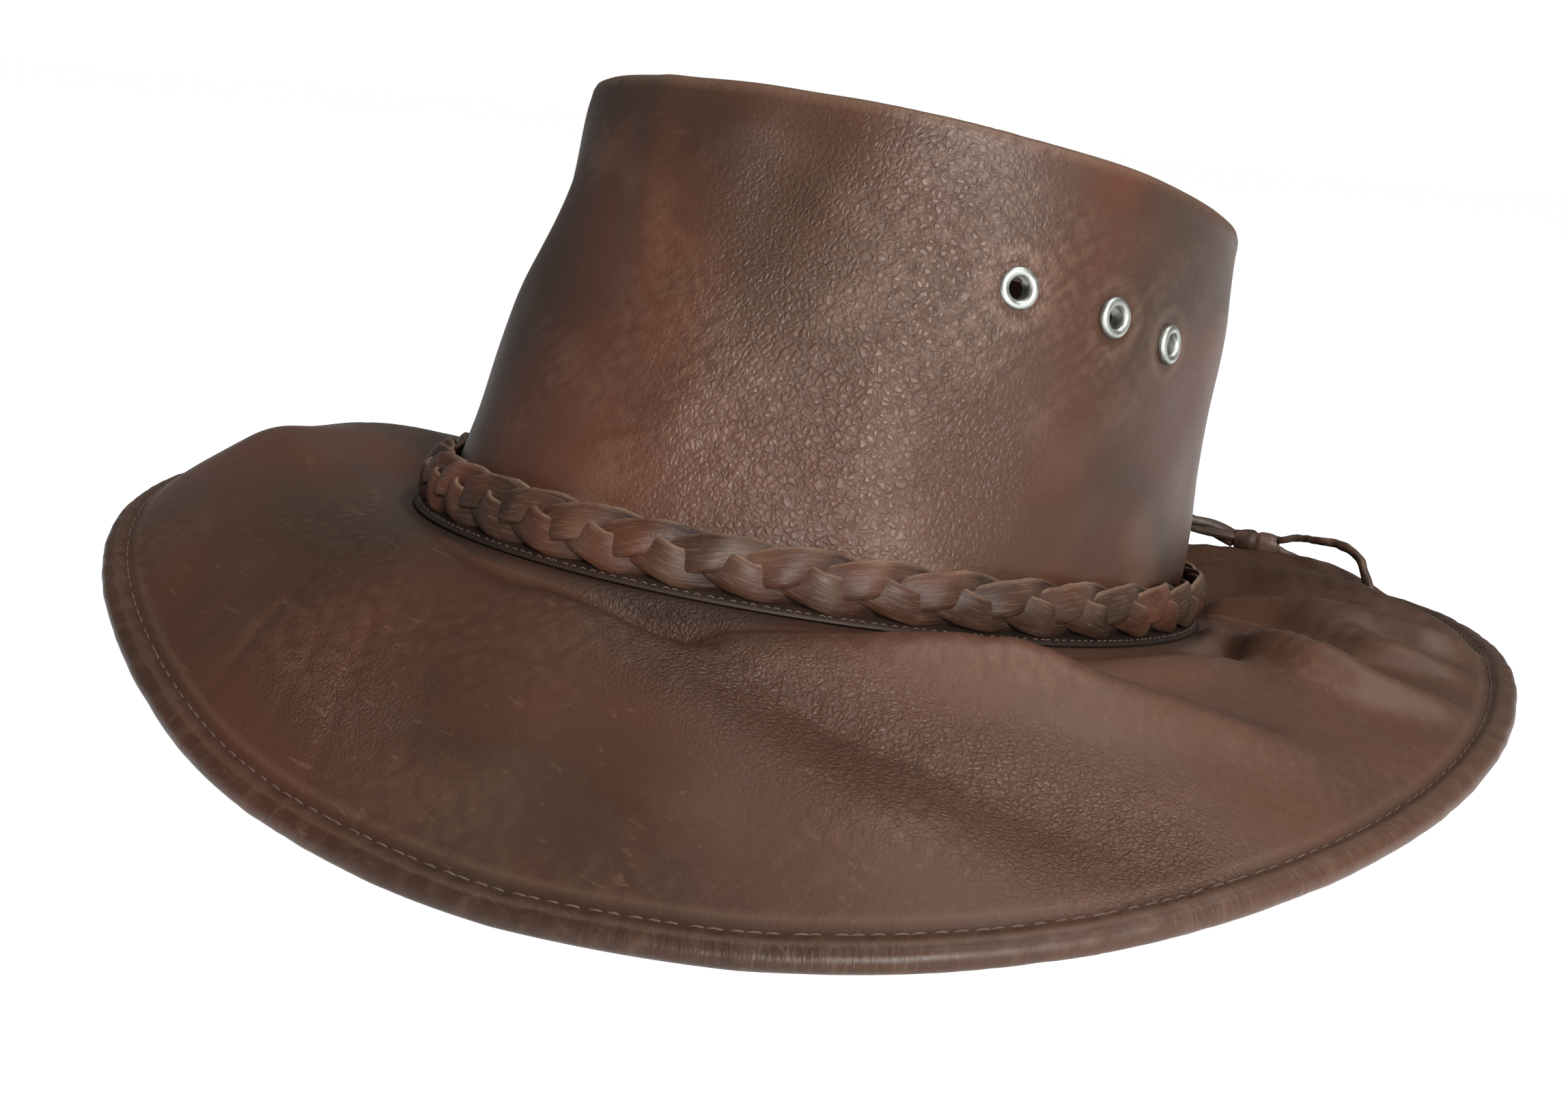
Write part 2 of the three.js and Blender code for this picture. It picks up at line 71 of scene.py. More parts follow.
# angle from the front towards the wearer's left, reach, height, slope at the crown, slope at the hem
hemRows = [
    (0, 0.988, 0.24, -0.02, -0.3), (15, 0.983, 0.07, -0.06, -0.25), (25, 0.985, 0, -0.08, -0.22),
    (40, 0.993, 0, -0.1, -0.22), (60, 1, 0.12, -0.1, -0.2), (75, 1, 0.27, -0.1, -0.15),
    (90, 1, 0.42, -0.05, -0.1), (105, 1, 0.56, 0.02, -0.1), (120, 1, 0.64, 0.08, -0.15),
    (135, 1, 0.58, 0.12, -0.3), (150, 1, 0.45, 0.25, -0.5), (163, 1, 0.19, 0.3, -0.55),
    (175, 1, 0, 0.25, -0.5), (187, 1, 0, 0.2, -0.4), (205, 1, 0.27, 0.15, -0.3),
    (222, 1, 0.32, 0.1, -0.2), (240, 1, 0, 0.1, -0.3), (254, 1, 0, 0.12, -0.45),
    (270, 1, 0.3, 0.3, -0.7), (285, 1, 0.64, 0.44, -0.88), (300, 1, 0.84, 0.5, -1),
    (315, 1.012, 0.93, 0.4, -0.85), (330, 1.012, 0.86, 0.2, -0.5), (345, 1, 0.58, 0.06, -0.35),
]
# width, lift, path of (angle, share of the brim's width)
foldRows = [
    (0.010, -0.0045, [(27, 0.07), (33, 0.2), (44, 0.35), (53, 0.51), (61, 0.65), (68, 0.82)]),
    (0.009, 0.0055, [(38, 0.1), (50, 0.11), (58, 0.15), (66, 0.25), (73, 0.37), (80, 0.49), (86, 0.64)]),
    (0.0055, 0.003, [(66, 0.22), (75, 0.2), (85, 0.19), (95, 0.2), (102, 0.24)]),
    (0.005, -0.004, [(116, 0.1), (109, 0.14), (103, 0.15)]),
    (0.0065, 0.0065, [(118, 0.05), (110, 0.24), (105, 0.44), (104, 0.62), (105.5, 0.86)]),
    (0.005, 0.004, [(125, 0.36), (116, 0.6), (114.5, 0.86)]),
    (0.0065, 0.0065, [(137, 0.03), (131, 0.27), (124.5, 0.51), (121.5, 0.77), (122, 0.9)]),
    (0.007, 0.006, [(158, 0.1), (151, 0.34), (143, 0.5), (135, 0.68), (131, 0.86)]),
    (0.010, 0.006, [(177, 0.15), (168, 0.38), (157, 0.6), (148, 0.83)]),
    (0.009, 0.004, [(206, 0.12), (214, 0.45), (220, 0.85)]),
    (0.009, 0.0035, [(262, 0.15), (255, 0.5), (246, 0.8)]),
    (0.008, -0.003, [(245, 0.1), (238, 0.45), (228, 0.8)]),
]
# angle, outward share and height share of the crown's top edge
rimRows = [
    (0, 1, 1), (30, 1.02, 1), (60, 1.01, 1), (90, 1, 1.005), (120, 1, 1.005), (150, 1, 0.995),
    (180, 1, 0.99), (210, 1, 0.995), (240, 1, 1), (270, 1, 1), (300, 1.02, 1), (330, 1.03, 1),
]
# angle, share of the crown's height, depth, half size along, half size up
dentRows = [
    (23, 0.86, 0.0045, 0.014, 0.018),
    (-37, 0.72, 0.0025, 0.017, 0.020),
    (0, 0.45, 0.0015, 0.030, 0.025),
]
# the soft upright ridge at the front left: width, lift, path of (angle, share of the crown's height)
ridgeRow = (0.006, 0.0016, [(-5.5, 0.97), (-3, 0.86), (1, 0.72), (7, 0.55), (15, 0.4), (21, 0.3)])


def wrapped(angle):
    return (angle + 180) % 360 - 180


def band(value, middle, half, power=2):
    # 1 at the middle, fading to nothing a little past half away; a higher power gives a flatter top
    return np.exp(-(((value - middle) / half) ** power))


def around(rows, column, angle):
    # smooth value of a column at an angle, through rows that go once round
    table = np.array(rows, float)
    turn = np.asarray(angle, float) % 360
    count = len(table)
    row = np.searchsorted(table[:, 0], turn, side="right") - 1

    def at(step):
        place = row + step
        return table[place % count, 0] + 360 * np.floor_divide(place, count), table[place % count, column]

    (a0, v0), (a1, v1), (a2, v2), (a3, v3) = at(-1), at(0), at(1), at(2)
    span = a2 - a1
    t = (turn - a1) / span
    slopeIn = (v2 - v0) / (a2 - a0) * span
    slopeOut = (v3 - v1) / (a3 - a1) * span
    return ease(t, v1, slopeIn, v2, slopeOut)


def ease(t, start, slopeIn, end, slopeOut):
    rise = 3 * t**2 - 2 * t**3
    return (1 - rise) * start + rise * end + (t**3 - 2 * t**2 + t) * slopeIn + (t**3 - t**2) * slopeOut


def leaned(x, y, z):
    # from the leaning crown's own frame to the hat's
    c = math.cos(math.radians(hat["lean"]))
    s = math.sin(math.radians(hat["lean"]))
    x, y, z = np.broadcast_arrays(x, y, z)
    return np.stack([x, y * c + z * s - hat["centreY"], hat["footHeight"] - y * s + z * c], -1)


def ovalPoint(angle, halfWidth, front, back, reach):
    t = np.radians(angle)
    half = np.where(np.cos(t) > 0, front, back)
    nx = np.sin(t) / halfWidth
    ny = -np.cos(t) / half
    size = np.hypot(nx, ny)
    return halfWidth * np.sin(t) + nx / size * reach, -half * np.cos(t) + ny / size * reach


def footOval(angle, reach):
    return ovalPoint(angle, hat["footHalfWidth"], hat["footHalfLength"], hat["footHalfLength"], reach)


def dentAt(angle, share):
    depth = 0
    for dentAngle, height, dentDepth, along, up in dentRows:
        u = np.radians(wrapped(angle - dentAngle)) * hat["wallRadius"] / along
        v = (share - height) * hat["crownHeight"] / up
        depth = depth + dentDepth * np.exp(-u * u - v * v)
    width, lift, path = ridgeRow
    return depth - lift * np.exp(-((wallDistance(angle, share, path) / width) ** 2))


def wallDistance(angle, share, path):
    # distance on the crown's wall to a path of (angle, share of height)
    radius = hat["wallRadius"]
    middle = path[len(path) // 2][0]
    u = np.radians(wrapped(angle - middle)) * radius
    v = share * hat["crownHeight"]
    near = 1e9
    for (a0, s0), (a1, s1) in zip(path, path[1:]):
        u0 = math.radians(a0 - middle) * radius
        v0 = s0 * hat["crownHeight"]
        legU = math.radians(a1 - a0) * radius
        legV = (s1 - s0) * hat["crownHeight"]
        t = np.clip(((u - u0) * legU + (v - v0) * legV) / (legU**2 + legV**2), 0, 1)
        near = np.minimum(near, np.hypot(u - u0 - t * legU, v - v0 - t * legV))
    return near


def crownPoint(angle, share, reach, drop=0.0):
    out = around(rimRows, 1, angle)
    high = around(rimRows, 2, angle)
    push = reach - dentAt(angle, share)
    footX, footY = footOval(angle, push)
    front, rear = hat["rimFront"], hat["rimBack"]
    rimX, rimY = ovalPoint(angle, hat["rimHalfWidth"] * out, front * out, rear * out, push)
    back = (rimY + front) / (front + rear)
    top = (hat["crownHeight"] - hat["crownFall"] * back) * high
    return leaned(footX + (rimX - footX) * share, footY + (rimY - footY) * share, (top - drop) * share)


def topPoint(angle, share, drop):
    # the crown's top inside its edge: share 1 at the edge, 0 in the middle
    rim = crownPoint(angle, 1.0, -hat["rimRound"])
    middle = leaned(0.0, hat["topMiddle"], hat["crownHeight"] - hat["crownFall"] / 2)
    share = np.asarray(share, float)
    point = middle + (rim - middle) * share[..., None]
    depth = hat["topDent"] * (1 - share ** (2.2 + 1.6 * np.abs(np.cos(np.radians(angle)))))
    axis = leaned(0.0, 0.0, 1.0) - leaned(0.0, 0.0, 0.0)
    return point - axis * (depth + drop)[..., None]


def pathDistance(angle, share, path):
    # distance on the brim to a path of (angle, share), and how far along the path that is
    near = np.full(angle.shape, 1e9)
    along = np.zeros(angle.shape)
    inner, width = hat["brimRadius"], hat["brimWidth"]
    for k in range(len(path) - 1):
        (a0, s0), (a1, s1) = path[k], path[k + 1]
        middle = (a0 + a1) / 2
        u = np.radians(wrapped(angle - middle)) * (inner + width * share)
        v = width * share
        u0 = math.radians(a0 - middle) * (inner + width * s0)
        u1 = math.radians(a1 - middle) * (inner + width * s1)
        legU = u1 - u0
        legV = width * (s1 - s0)
        t = ((u - u0) * legU + (v - width * s0) * legV) / (legU**2 + legV**2)
        t = np.clip(t, 0, 1)
        distance = np.hypot(u - u0 - t * legU, v - width * s0 - t * legV)
        along = np.where(distance < near, (k + t) / (len(path) - 1), along)
        near = np.minimum(near, distance)
    return near, along


def foldAt(angle, share, rows):
    lift = np.zeros(angle.shape)
    for width, height, path in rows:
        near, along = pathDistance(angle, share, path)
        taper = np.sin(np.pi * (0.12 + 0.8 * along)) ** 0.7
        lift += height * taper * np.exp(-((near / width) ** 2))
    return lift * np.clip(share / 0.07, 0, 1) * np.clip((1 - share) / 0.14, 0, 1)


def brimMiddle(angle, share, extra=()):
    # middle of the brim's leather: share -1 at the head opening, 0 at the flange's edge, 1 at the hem
    angle, share = np.broadcast_arrays(np.asarray(angle, float), np.asarray(share, float))
    reachIn = hat["flangeReach"] + hat["flangeGap"]
    depth = -hat["gap"] - hat["brimLeather"] / 2
    under = leaned(*footOval(angle, hat["leather"] * share + reachIn * (1 + share)), depth)
    inner = leaned(*footOval(angle, reachIn), depth)
    t = np.radians(angle)
    reach = around(hemRows, 1, angle)
    rest = hat["beadRadius"] * math.cos(math.radians(hat["beadRest"]))
    hem = np.stack([
        hat["hemHalfWidth"] * reach * np.sin(t),
        hat["hemBack"] - hat["centreY"] - hat["hemHalfLength"] * reach * np.cos(t),
        rest + hat["hemLift"] * np.maximum(0, around(hemRows, 2, angle)),
    ], -1)
    run = hem - inner
    width = np.hypot(run[..., 0], run[..., 1])
    slopeIn = -math.tan(math.radians(hat["lean"])) * run[..., 1] / width + around(hemRows, 3, angle)
    slopeOut = run[..., 2] / width + around(hemRows, 4, angle)
    s = np.clip(share, 0, 1)
    z = ease(s, inner[..., 2], width * slopeIn, hem[..., 2], width * slopeOut)
    z = z + foldAt(angle, s, [*foldRows, *extra])
    free = np.stack([inner[..., 0] + run[..., 0] * s, inner[..., 1] + run[..., 1] * s, z], -1)
    return np.where((share < 0)[..., None], under, free)


# shader and mesh helpers
class Wire:
    # a shader socket that can stand in a sum: each operator adds its Math node
    def __init__(self, shader, socket):
        self.shader = shader
        self.socket = socket

    def math(self, operation, first, second):
        return self.shader.node("ShaderNodeMath", {"operation": operation}, {0: first, 1: second})

    def __add__(self, other):
        return self.math("ADD", self, other)

    def __sub__(self, other):
        return self.math("SUBTRACT", self, other)

    def __rsub__(self, other):
        return self.math("SUBTRACT", other, self)

    def __mul__(self, other):
        return self.math("MULTIPLY", self, other)

    def __truediv__(self, other):
        return self.math("DIVIDE", self, other)

    __radd__ = __add__
    __rmul__ = __mul__

    def between(self, low, high):
        # 0 at low, 1 at high, smooth between
        settings = {"interpolation_type": "SMOOTHSTEP"}
        values = {"Value": self, "From Min": low, "From Max": high}
        return self.shader.node("ShaderNodeMapRange", settings, values)


class Shader:
    def __init__(self, name):
        self.material = bpy.data.materials.new(name)
        self.material.use_nodes = True
        self.tree = self.material.node_tree
        self.tree.nodes.clear()

    def node(self, kind, settings=None, values=None, out=0):
        made = self.tree.nodes.new(kind)
        for key, value in (settings or {}).items():
            setattr(made, key, value)
        for key, value in (values or {}).items():
            self.feed(made.inputs[key], value)
        return Wire(self, made.outputs[out])

    def feed(self, socket, value):
        if isinstance(value, Wire):
            self.tree.links.new(value.socket, socket)
        elif isinstance(value, tuple) and len(value) == 3 and socket.type == "RGBA":
            socket.default_value = (*value, 1)
        else:
            socket.default_value = value

    def blend(self, factor, first, second):
        values = {0: factor, 6: first, 7: second}
        return self.node("ShaderNodeMix", {"data_type": "RGBA"}, values, out=2)

    def vector(self, operation, first, second):
        return self.node("ShaderNodeVectorMath", {"operation": operation}, {0: first, 1: second})

    def place(self, scale=(1, 1, 1)):
        return self.vector("MULTIPLY", self.node("ShaderNodeTexCoord", out="Object"), scale)

    def noise(self, size, detail=2.0, where=None, warp=0.0, rough=0.5):
        # soft noise round 0.5 whose features are about size metres wide
        where = where or self.place()
        values = {"Vector": where, "Scale": 1 / size, "Detail": detail}
        values |= {"Roughness": rough, "Distortion": warp}
        return self.node("ShaderNodeTexNoise", None, values)

    def cells(self, size, where):
        # distance to the edge of cells about size metres wide
        settings = {"feature": "DISTANCE_TO_EDGE"}
        values = {"Vector": where, "Scale": 1 / size}
        return self.node("ShaderNodeTexVoronoi", settings, values, out="Distance")

    def mark(self, name):
        # a value stored on the mesh's points
        return self.node("ShaderNodeAttribute", {"attribute_name": name}, out="Fac")

    def flow(self, scale):
        # place along and across a strap or a hem, stored on the mesh's points in metres
        spot = self.node("ShaderNodeAttribute", {"attribute_name": "flow"}, out="Vector")
        return self.vector("MULTIPLY", spot, scale)

    def bump(self, height, distance, strength):
        values = {"Height": height, "Distance": distance, "Strength": strength}
        return self.node("ShaderNodeBump", None, values)

    def finish(self, values):
        surface = self.node("ShaderNodeBsdfPrincipled", None, values)
        output = self.tree.nodes.new("ShaderNodeOutputMaterial")
        self.tree.links.new(surface.socket, output.inputs["Surface"])
        return self.material


def waves(points, size, seed, count=16):
    # smooth noise of about -1 to 1 whose features are about size metres wide
    random = np.random.default_rng(seed)
    directions = random.normal(size=(count, 3))
    directions /= np.linalg.norm(directions, axis=1)[:, None]
    lengths = size * random.uniform(1.4, 2.8, count)
    offsets = random.uniform(0, 2 * np.pi, count)
    total = np.zeros(points.shape[:-1])
    for direction, length, offset in zip(directions, lengths, offsets):
        total += np.sin(points @ direction * (2 * np.pi / length) + offset)
    return total / math.sqrt(count)


def creases(points, size, seed, patchSeed, share):
    # thin valleys, 1 in the valley and 0 away from it, along the zero lines of two noises;
    # they come and go in patches, and a larger share leaves more of them
    sharp = 0.18
    first = waves(points, size, seed)
    second = waves(points, size * 0.8, seed + 50)
    valleys = np.maximum(band(first, 0, sharp), 0.8 * band(second, 0, sharp))
    return valleys * np.clip(share + 0.5 * waves(points, 0.03, patchSeed), 0, 1)


def unit(vectors):
    return vectors / np.maximum(np.linalg.norm(vectors, axis=-1, keepdims=True), 1e-12)


def gridNormals(grid, closedAcross=False):
    # normals of a grid of points that is closed along its first direction
    along = np.roll(grid, -1, 0) - np.roll(grid, 1, 0)
    if closedAcross:
        across = np.roll(grid, -1, 1) - np.roll(grid, 1, 1)
    else:
        across = np.gradient(grid, axis=1)
    return unit(np.cross(along, across))


def smoothed(points, knots, samples):
    # points[..., k, 3] at rising knots, taken through a smooth curve at the samples
    knots = np.asarray(knots, float)
    samples = np.asarray(samples, float)
    k = np.clip(np.searchsorted(knots, samples, side="right") - 1, 0, len(knots) - 2)
    before = np.clip(k - 1, 0, len(knots) - 1)
    after = np.clip(k + 2, 0, len(knots) - 1)
    span = knots[k + 1] - knots[k]
    t = (samples - knots[k]) / span

    def slope(low, high):
        gap = (knots[high] - knots[low]) / span
        return (points[..., high, :] - points[..., low, :]) / gap[:, None]

    t = t[:, None]
    return ease(t, points[..., k, :], slope(before, k + 1), points[..., k + 1, :], slope(k, after))


def knotsOf(keys):
    # mean distance along a section's key points, from the first
    steps = np.linalg.norm(np.diff(keys, axis=1), axis=-1).mean(0)
    return np.concatenate([[0], np.cumsum(np.maximum(steps, 1e-5))])


def meshPiece(name, points, faces, marks=None):
    mesh = bpy.data.meshes.new(name)
    points = np.asarray(points, np.float32).reshape(-1, 3)
    faces = np.asarray(faces, np.int32)
    corners = faces.shape[1]
    mesh.vertices.add(len(points))
    mesh.vertices.foreach_set("co", points.ravel())
    mesh.loops.add(faces.size)
    mesh.loops.foreach_set("vertex_index", faces.ravel())
    mesh.polygons.add(len(faces))
    mesh.polygons.foreach_set("loop_start", np.arange(0, faces.size, corners, dtype=np.int32))
    mesh.polygons.foreach_set("use_smooth", np.ones(len(faces), bool))
    mesh.update(calc_edges=True)
    mesh.validate()
    for key, value in (marks or {}).items():
        value = np.asarray(value, np.float32)
        if value.ndim > 1 and value.shape[-1] == 3:
            made = mesh.attributes.new(key, "FLOAT_VECTOR", "POINT")
            made.data.foreach_set("vector", value.ravel())
        else:
            made = mesh.attributes.new(key, "FLOAT", "POINT")
            made.data.foreach_set("value", value.ravel())
    piece = bpy.data.objects.new(name, mesh)
    bpy.context.scene.collection.objects.link(piece)
    return piece


def gridFaces(rows, columns, closedRows=True, closedColumns=False):
    i = np.arange(rows if closedRows else rows - 1)
    j = np.arange(columns if closedColumns else columns - 1)
    a, b = np.meshgrid(i, j, indexing="ij")
    a, b = a.ravel(), b.ravel()
    nextA = (a + 1) % rows
    nextB = (b + 1) % columns
    corners = [a * columns + b, nextA * columns + b, nextA * columns + nextB, a * columns + nextB]
    return np.stack(corners, -1)


def hollows(push):
    # how far each point of a pushed grid lies under the points round it, below 0 on a bump
    near = np.roll(push, 2, 1) + np.roll(push, -2, 1) + np.roll(push, 2, 0) + np.roll(push, -2, 0)
    return near - 4 * push


def facedOut(points, faces):
    # signed volume says which way the faces look
    corners = np.asarray(points).reshape(-1, 3)[faces]
    volume = np.einsum("ij,ij->i", corners[:, 0], np.cross(corners[:, 1], corners[:, 2])).sum()
    volume += np.einsum("ij,ij->i", corners[:, 0], np.cross(corners[:, 2], corners[:, 3])).sum()
    return faces if volume > 0 else faces[:, ::-1]


def dress(piece, material, slotName, *nodes):
    piece.data.materials.append(material)
    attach(piece, "root")
    if nodes:
        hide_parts(*nodes)
    return piece


# camera, at the photograph's viewing angle
photoWidth = 2296  # pixels
camera = {
    "eye": (0.3010, -0.3338, 0.1429),
    "azimuth": 42.56,
    "elevation": 11.46,
    "roll": 5.07,
    "sensor": 36,  # millimetres
    "focalShare": 2578.7 / photoWidth,  # focal length over the picture's width
    "shiftX": -63.7 / photoWidth,
    "shiftY": -100.0 / photoWidth,
}


def makeCamera():
    turn = math.radians(camera["azimuth"])
    lift = math.radians(camera["elevation"])
    roll = math.radians(camera["roll"])
    forward = Vector((-math.sin(turn) * math.cos(lift), math.cos(turn) * math.cos(lift), -math.sin(lift)))
    side = Vector((math.cos(turn), math.sin(turn), 0))
    up = side.cross(forward)
    right = side * math.cos(roll) + up * math.sin(roll)
    top = right.cross(forward)
    data = bpy.data.cameras.new("camera")
    data.sensor_width = camera["sensor"]
    data.lens = camera["sensor"] * camera["focalShare"]
    data.shift_x = camera["shiftX"]
    data.shift_y = camera["shiftY"]
    data.clip_start = 0.01
    data.clip_end = 100
    made = bpy.data.objects.new("camera", data)
    bpy.context.scene.collection.objects.link(made)
    basis = Matrix((right, top, -forward)).transposed().to_4x4()
    made.matrix_world = Matrix.Translation(camera["eye"]) @ basis
    bpy.context.scene.camera = made


makeCamera()


# materials
def leatherShader(name, look):
    s = Shader(name)
    place = warpedPlace(s, look["cell"])
    patch = s.noise(look["patch"], 3.0, warp=0.8).between(0.36, 0.66)
    cloud = s.noise(look["patch"] * 0.35, 2.0, warp=0.4)
    rub = s.noise(look["patch"] * 0.8, 3.0, warp=0.9).between(0.46, 0.7)
    streak = s.noise(0.004, 3.0, where=s.place((1, 1, 0.16)), warp=0.3)
    wearAndSheen, dark, warm = s.mark("wearAndSheen"), s.mark("dark"), s.mark("warm")
    colour = s.blend(patch, look["olive"], look["brown"])
    redness = rub * look["rub"] + warm
    colour = s.blend(redness.math("MINIMUM", redness, 1.0), colour, look["red"])
    colour = s.blend(cloud.between(0.45, 0.8) * look["haze"], colour, look["grey"])
    # creased skin: small soft pebbles in some patches, faint elsewhere
    faint = s.noise(look["patch"] * 0.6, 2.0, warp=0.6).between(0.5, 0.72)
    crinkle = (faint * look["faint"] + s.mark("crinkle")).between(-0.1, 1.0)
    web = s.cells(look["cell"], place)
    largeWeb = s.cells(look["cell"] * 2.7, place)
    pebble = web.between(0.0, 0.30)
    line = (1 - web.between(0.0, 0.16)) * 0.7
    line = line + (1 - largeWeb.between(0.0, 0.07)) * s.mark("crinkle") * 0.7
    pore = s.noise(look["pore"], 2.0)
    crease = line * crinkle
    colour = s.blend(crease * look["creaseTone"], colour, look["deep"])
    # blend in the marks: darker tone and painted shade, then wear and painted sheen
    colour = s.blend(dark, colour, look["deep"])
    colour = s.blend(wearAndSheen * (0.3 + pore * 0.6), colour, look["pale"])
    scratch = s.noise(0.0016, 2.0, where=s.place((0.08, 1, 1)), warp=0.6).between(0.64, 0.76)
    colour = s.blend(scratch * look["scratch"], colour, look["pale"])
    # fine grain lines along a strap, or small wrinkles across a rolled hem
    grain = s.noise(look["grain"], 3.0, where=s.flow(look["grainRun"]), rough=0.6)
    lined = s.mark("grain")
    colour = s.blend(grain.between(0.5, 0.68) * lined * look["grainTone"], colour, look["pale"])
    height = pore * 0.16 + streak * 0.06 + pebble * crinkle * 0.9
    height = height - (1 - largeWeb.between(0.0, 0.1)) * s.mark("crinkle") * 0.5
    height = height + grain * lined * look["grainDepth"]
    bump = s.bump(height, look["depth"], look["strength"])
    rough = look["rough"] + crease * 0.2 + (pore - 0.5) * 0.16 + (cloud - 0.5) * look["roughRange"]
    rough = rough + dark * 0.15 - lined * look["polish"]
    return s.finish({
        "Base Color": colour,
        "Roughness": rough,
        "Normal": bump,
        "Specular IOR Level": look["gloss"],
    })


def warpedPlace(s, size):
    # object place pushed about a little, so that the cells aren't regular
    values = {"Vector": s.place(), "Scale": 0.5 / size, "Detail": 2.0}
    push = s.node("ShaderNodeTexNoise", None, values, out="Color")
    push = s.vector("SUBTRACT", push, (0.5, 0.5, 0.5))
    push = s.vector("MULTIPLY", push, (size * 1.6,) * 3)
    return s.vector("ADD", s.place(), push)


crownLook = {
    "olive": (0.031, 0.0152, 0.0084),
    "brown": (0.047, 0.0198, 0.0106),
    "red": (0.064, 0.0212, 0.0112),
    "grey": (0.052, 0.0285, 0.0185),
    "pale": (0.17, 0.105, 0.072),
    "deep": (0.010, 0.0048, 0.0030),
    "patch": 0.07,
    "rub": 0.55,
    "haze": 0.25,
    "cell": 0.0016,
    "faint": 0.14,
    "pore": 0.0009,
    "creaseTone": 0.5,
    "scratch": 0.08,
    "grain": 0.001,
    "grainRun": (0.12, 1, 1),
    "grainTone": 0.0,
    "grainDepth": 0.0,
    "polish": 0.0,
    "depth": 0.00024,
    "strength": 0.9,
    "rough": 0.45,
    "roughRange": 0.12,
    "gloss": 0.28,
}
brimLook = dict(
    crownLook,
    patch=0.08,
    rub=0.4,
    haze=0.34,
    cell=0.0012,
    creaseTone=0.45,
    scratch=0.14,
    pore=0.0008,
    faint=0.08,
    gloss=0.22,
    grainRun=(1, 0.16, 1),
    grainTone=0.12,
    grainDepth=0.8,
    polish=0.08,
)
braidLook = dict(
    crownLook,
    patch=0.03,
    olive=(0.019, 0.0094, 0.0054),
    brown=(0.031, 0.0136, 0.0076),
    pale=(0.24, 0.155, 0.105),
    gloss=0.2,
    rough=0.48,
    scratch=0.0,
    cell=0.0015,
    grain=0.0006,
    grainTone=0.12,
    grainDepth=0.7,
)
thongLook = dict(crownLook, patch=0.02, olive=(0.030, 0.017, 0.011), brown=(0.045, 0.024, 0.015), cell=0.0012)

crownLeather = leatherShader("crownLeather", crownLook)
brimLeather = leatherShader("brimLeather", brimLook)
braidLeather = leatherShader("braidLeather", braidLook)
thongLeather = leatherShader("thongLeather", thongLook)


metalLook = {"bright": (0.42, 0.44, 0.41), "stained": (0.26, 0.26, 0.24), "stain": 0.0022, "speck": 0.0006}
threadLook = {"dark": (0.038, 0.021, 0.013), "light": (0.082, 0.047, 0.030), "tone": 0.004, "fluff": 0.0004}


def metalShader(look):
    s = Shader("eyeletMetal")
    stain = s.noise(look["stain"], 3.0).between(0.4, 0.72)
    colour = s.blend(stain * 0.5, look["bright"], look["stained"])
    rough = 0.32 + stain * 0.2 + s.noise(look["speck"], 2.0) * 0.1
    return s.finish({"Base Color": colour, "Metallic": 1.0, "Roughness": rough})


def threadShader(look):
    s = Shader("thread")
    colour = s.blend(s.noise(look["tone"], 2.0), look["dark"], look["light"])
    fluff = s.bump(s.noise(look["fluff"], 1.0), 0.0001, 0.6)
    return s.finish({"Base Color": colour, "Roughness": 0.7, "Normal": fluff})


eyeletMetal = metalShader(metalLook)
thread = threadShader(threadLook)
print("materials ready")


# tie: twisted bundle, wrap and two free thongs. Rows: angle, share of the brim, height over its middle
tie = {
    "bundle": [(176.5, 0.024, 0.0136), (175, 0.11, 0.0135), (170, 0.28, 0.012), (165.5, 0.43, 0.0076),
        (162.4, 0.53, 0.0048)],
    "knot": [(162, 0.545, 0.0049), (160, 0.59, 0.0049), (158.5, 0.64, 0.0049)],
    "longThong": [(157.4, 0.635, 0.006), (155, 0.66, 0.0074), (151.5, 0.67, 0.0089), (148.5, 0.71, 0.0105),
        (146, 0.75, 0.0093), (144.5, 0.76, 0.0051), (143, 0.76, 0.0029)],
    "shortThong": [(159, 0.675, 0.005), (157.3, 0.735, 0.0043), (155.6, 0.79, 0.0038), (154.7, 0.85, 0.0036),
        (155.4, 0.9, 0.0036), (157.2, 0.935, 0.0038), (159, 0.953, 0.004)],
    "thongRadius": 0.0013,
    "strandAway": 0.0014,  # each strand from the middle of the bundle
    "knotRadius": 0.0034,
    "knotGroove": 0.0005,
}


def routeOf(rows, count):
    # the row's points on the brim, taken through a smooth curve of count even steps
    points = np.array([brimMiddle(float(a), float(s)) + np.array([0, 0, over]) for a, s, over in rows])
    knots = np.concatenate([[0], np.cumsum(np.linalg.norm(np.diff(points, axis=0), axis=1) ** 0.5)])
    fine = smoothed(points, knots, np.linspace(0, knots[-1], 400))
    length = np.concatenate([[0], np.cumsum(np.linalg.norm(np.diff(fine, axis=0), axis=1))])
    even = np.linspace(0, length[-1], count)
    return np.stack([np.interp(even, length, fine[:, k]) for k in range(3)], -1), length[-1]


def sweep(path, section, twist=0.0):
    # a section of (side, up) offsets carried along a path: grid of points, one row for each path point
    path = np.asarray(path, float)
    ahead = unit(np.gradient(path, axis=0))
    side = np.zeros_like(path)
    lastSide = unit(np.cross(ahead[0], [0, 0, 1.0]))
    for k in range(len(path)):
        lastSide = unit(lastSide - ahead[k] * np.dot(lastSide, ahead[k]))
        side[k] = lastSide
    up = np.cross(side, ahead)
    turn = np.linspace(0, twist, len(path))[:, None, None]
    section = np.broadcast_to(section, (len(path), *np.shape(section)[-2:]))
    u = section[..., :1] * np.cos(turn) - section[..., 1:] * np.sin(turn)
    v = section[..., :1] * np.sin(turn) + section[..., 1:] * np.cos(turn)
    return path[:, None] + side[:, None] * u + up[:, None] * v


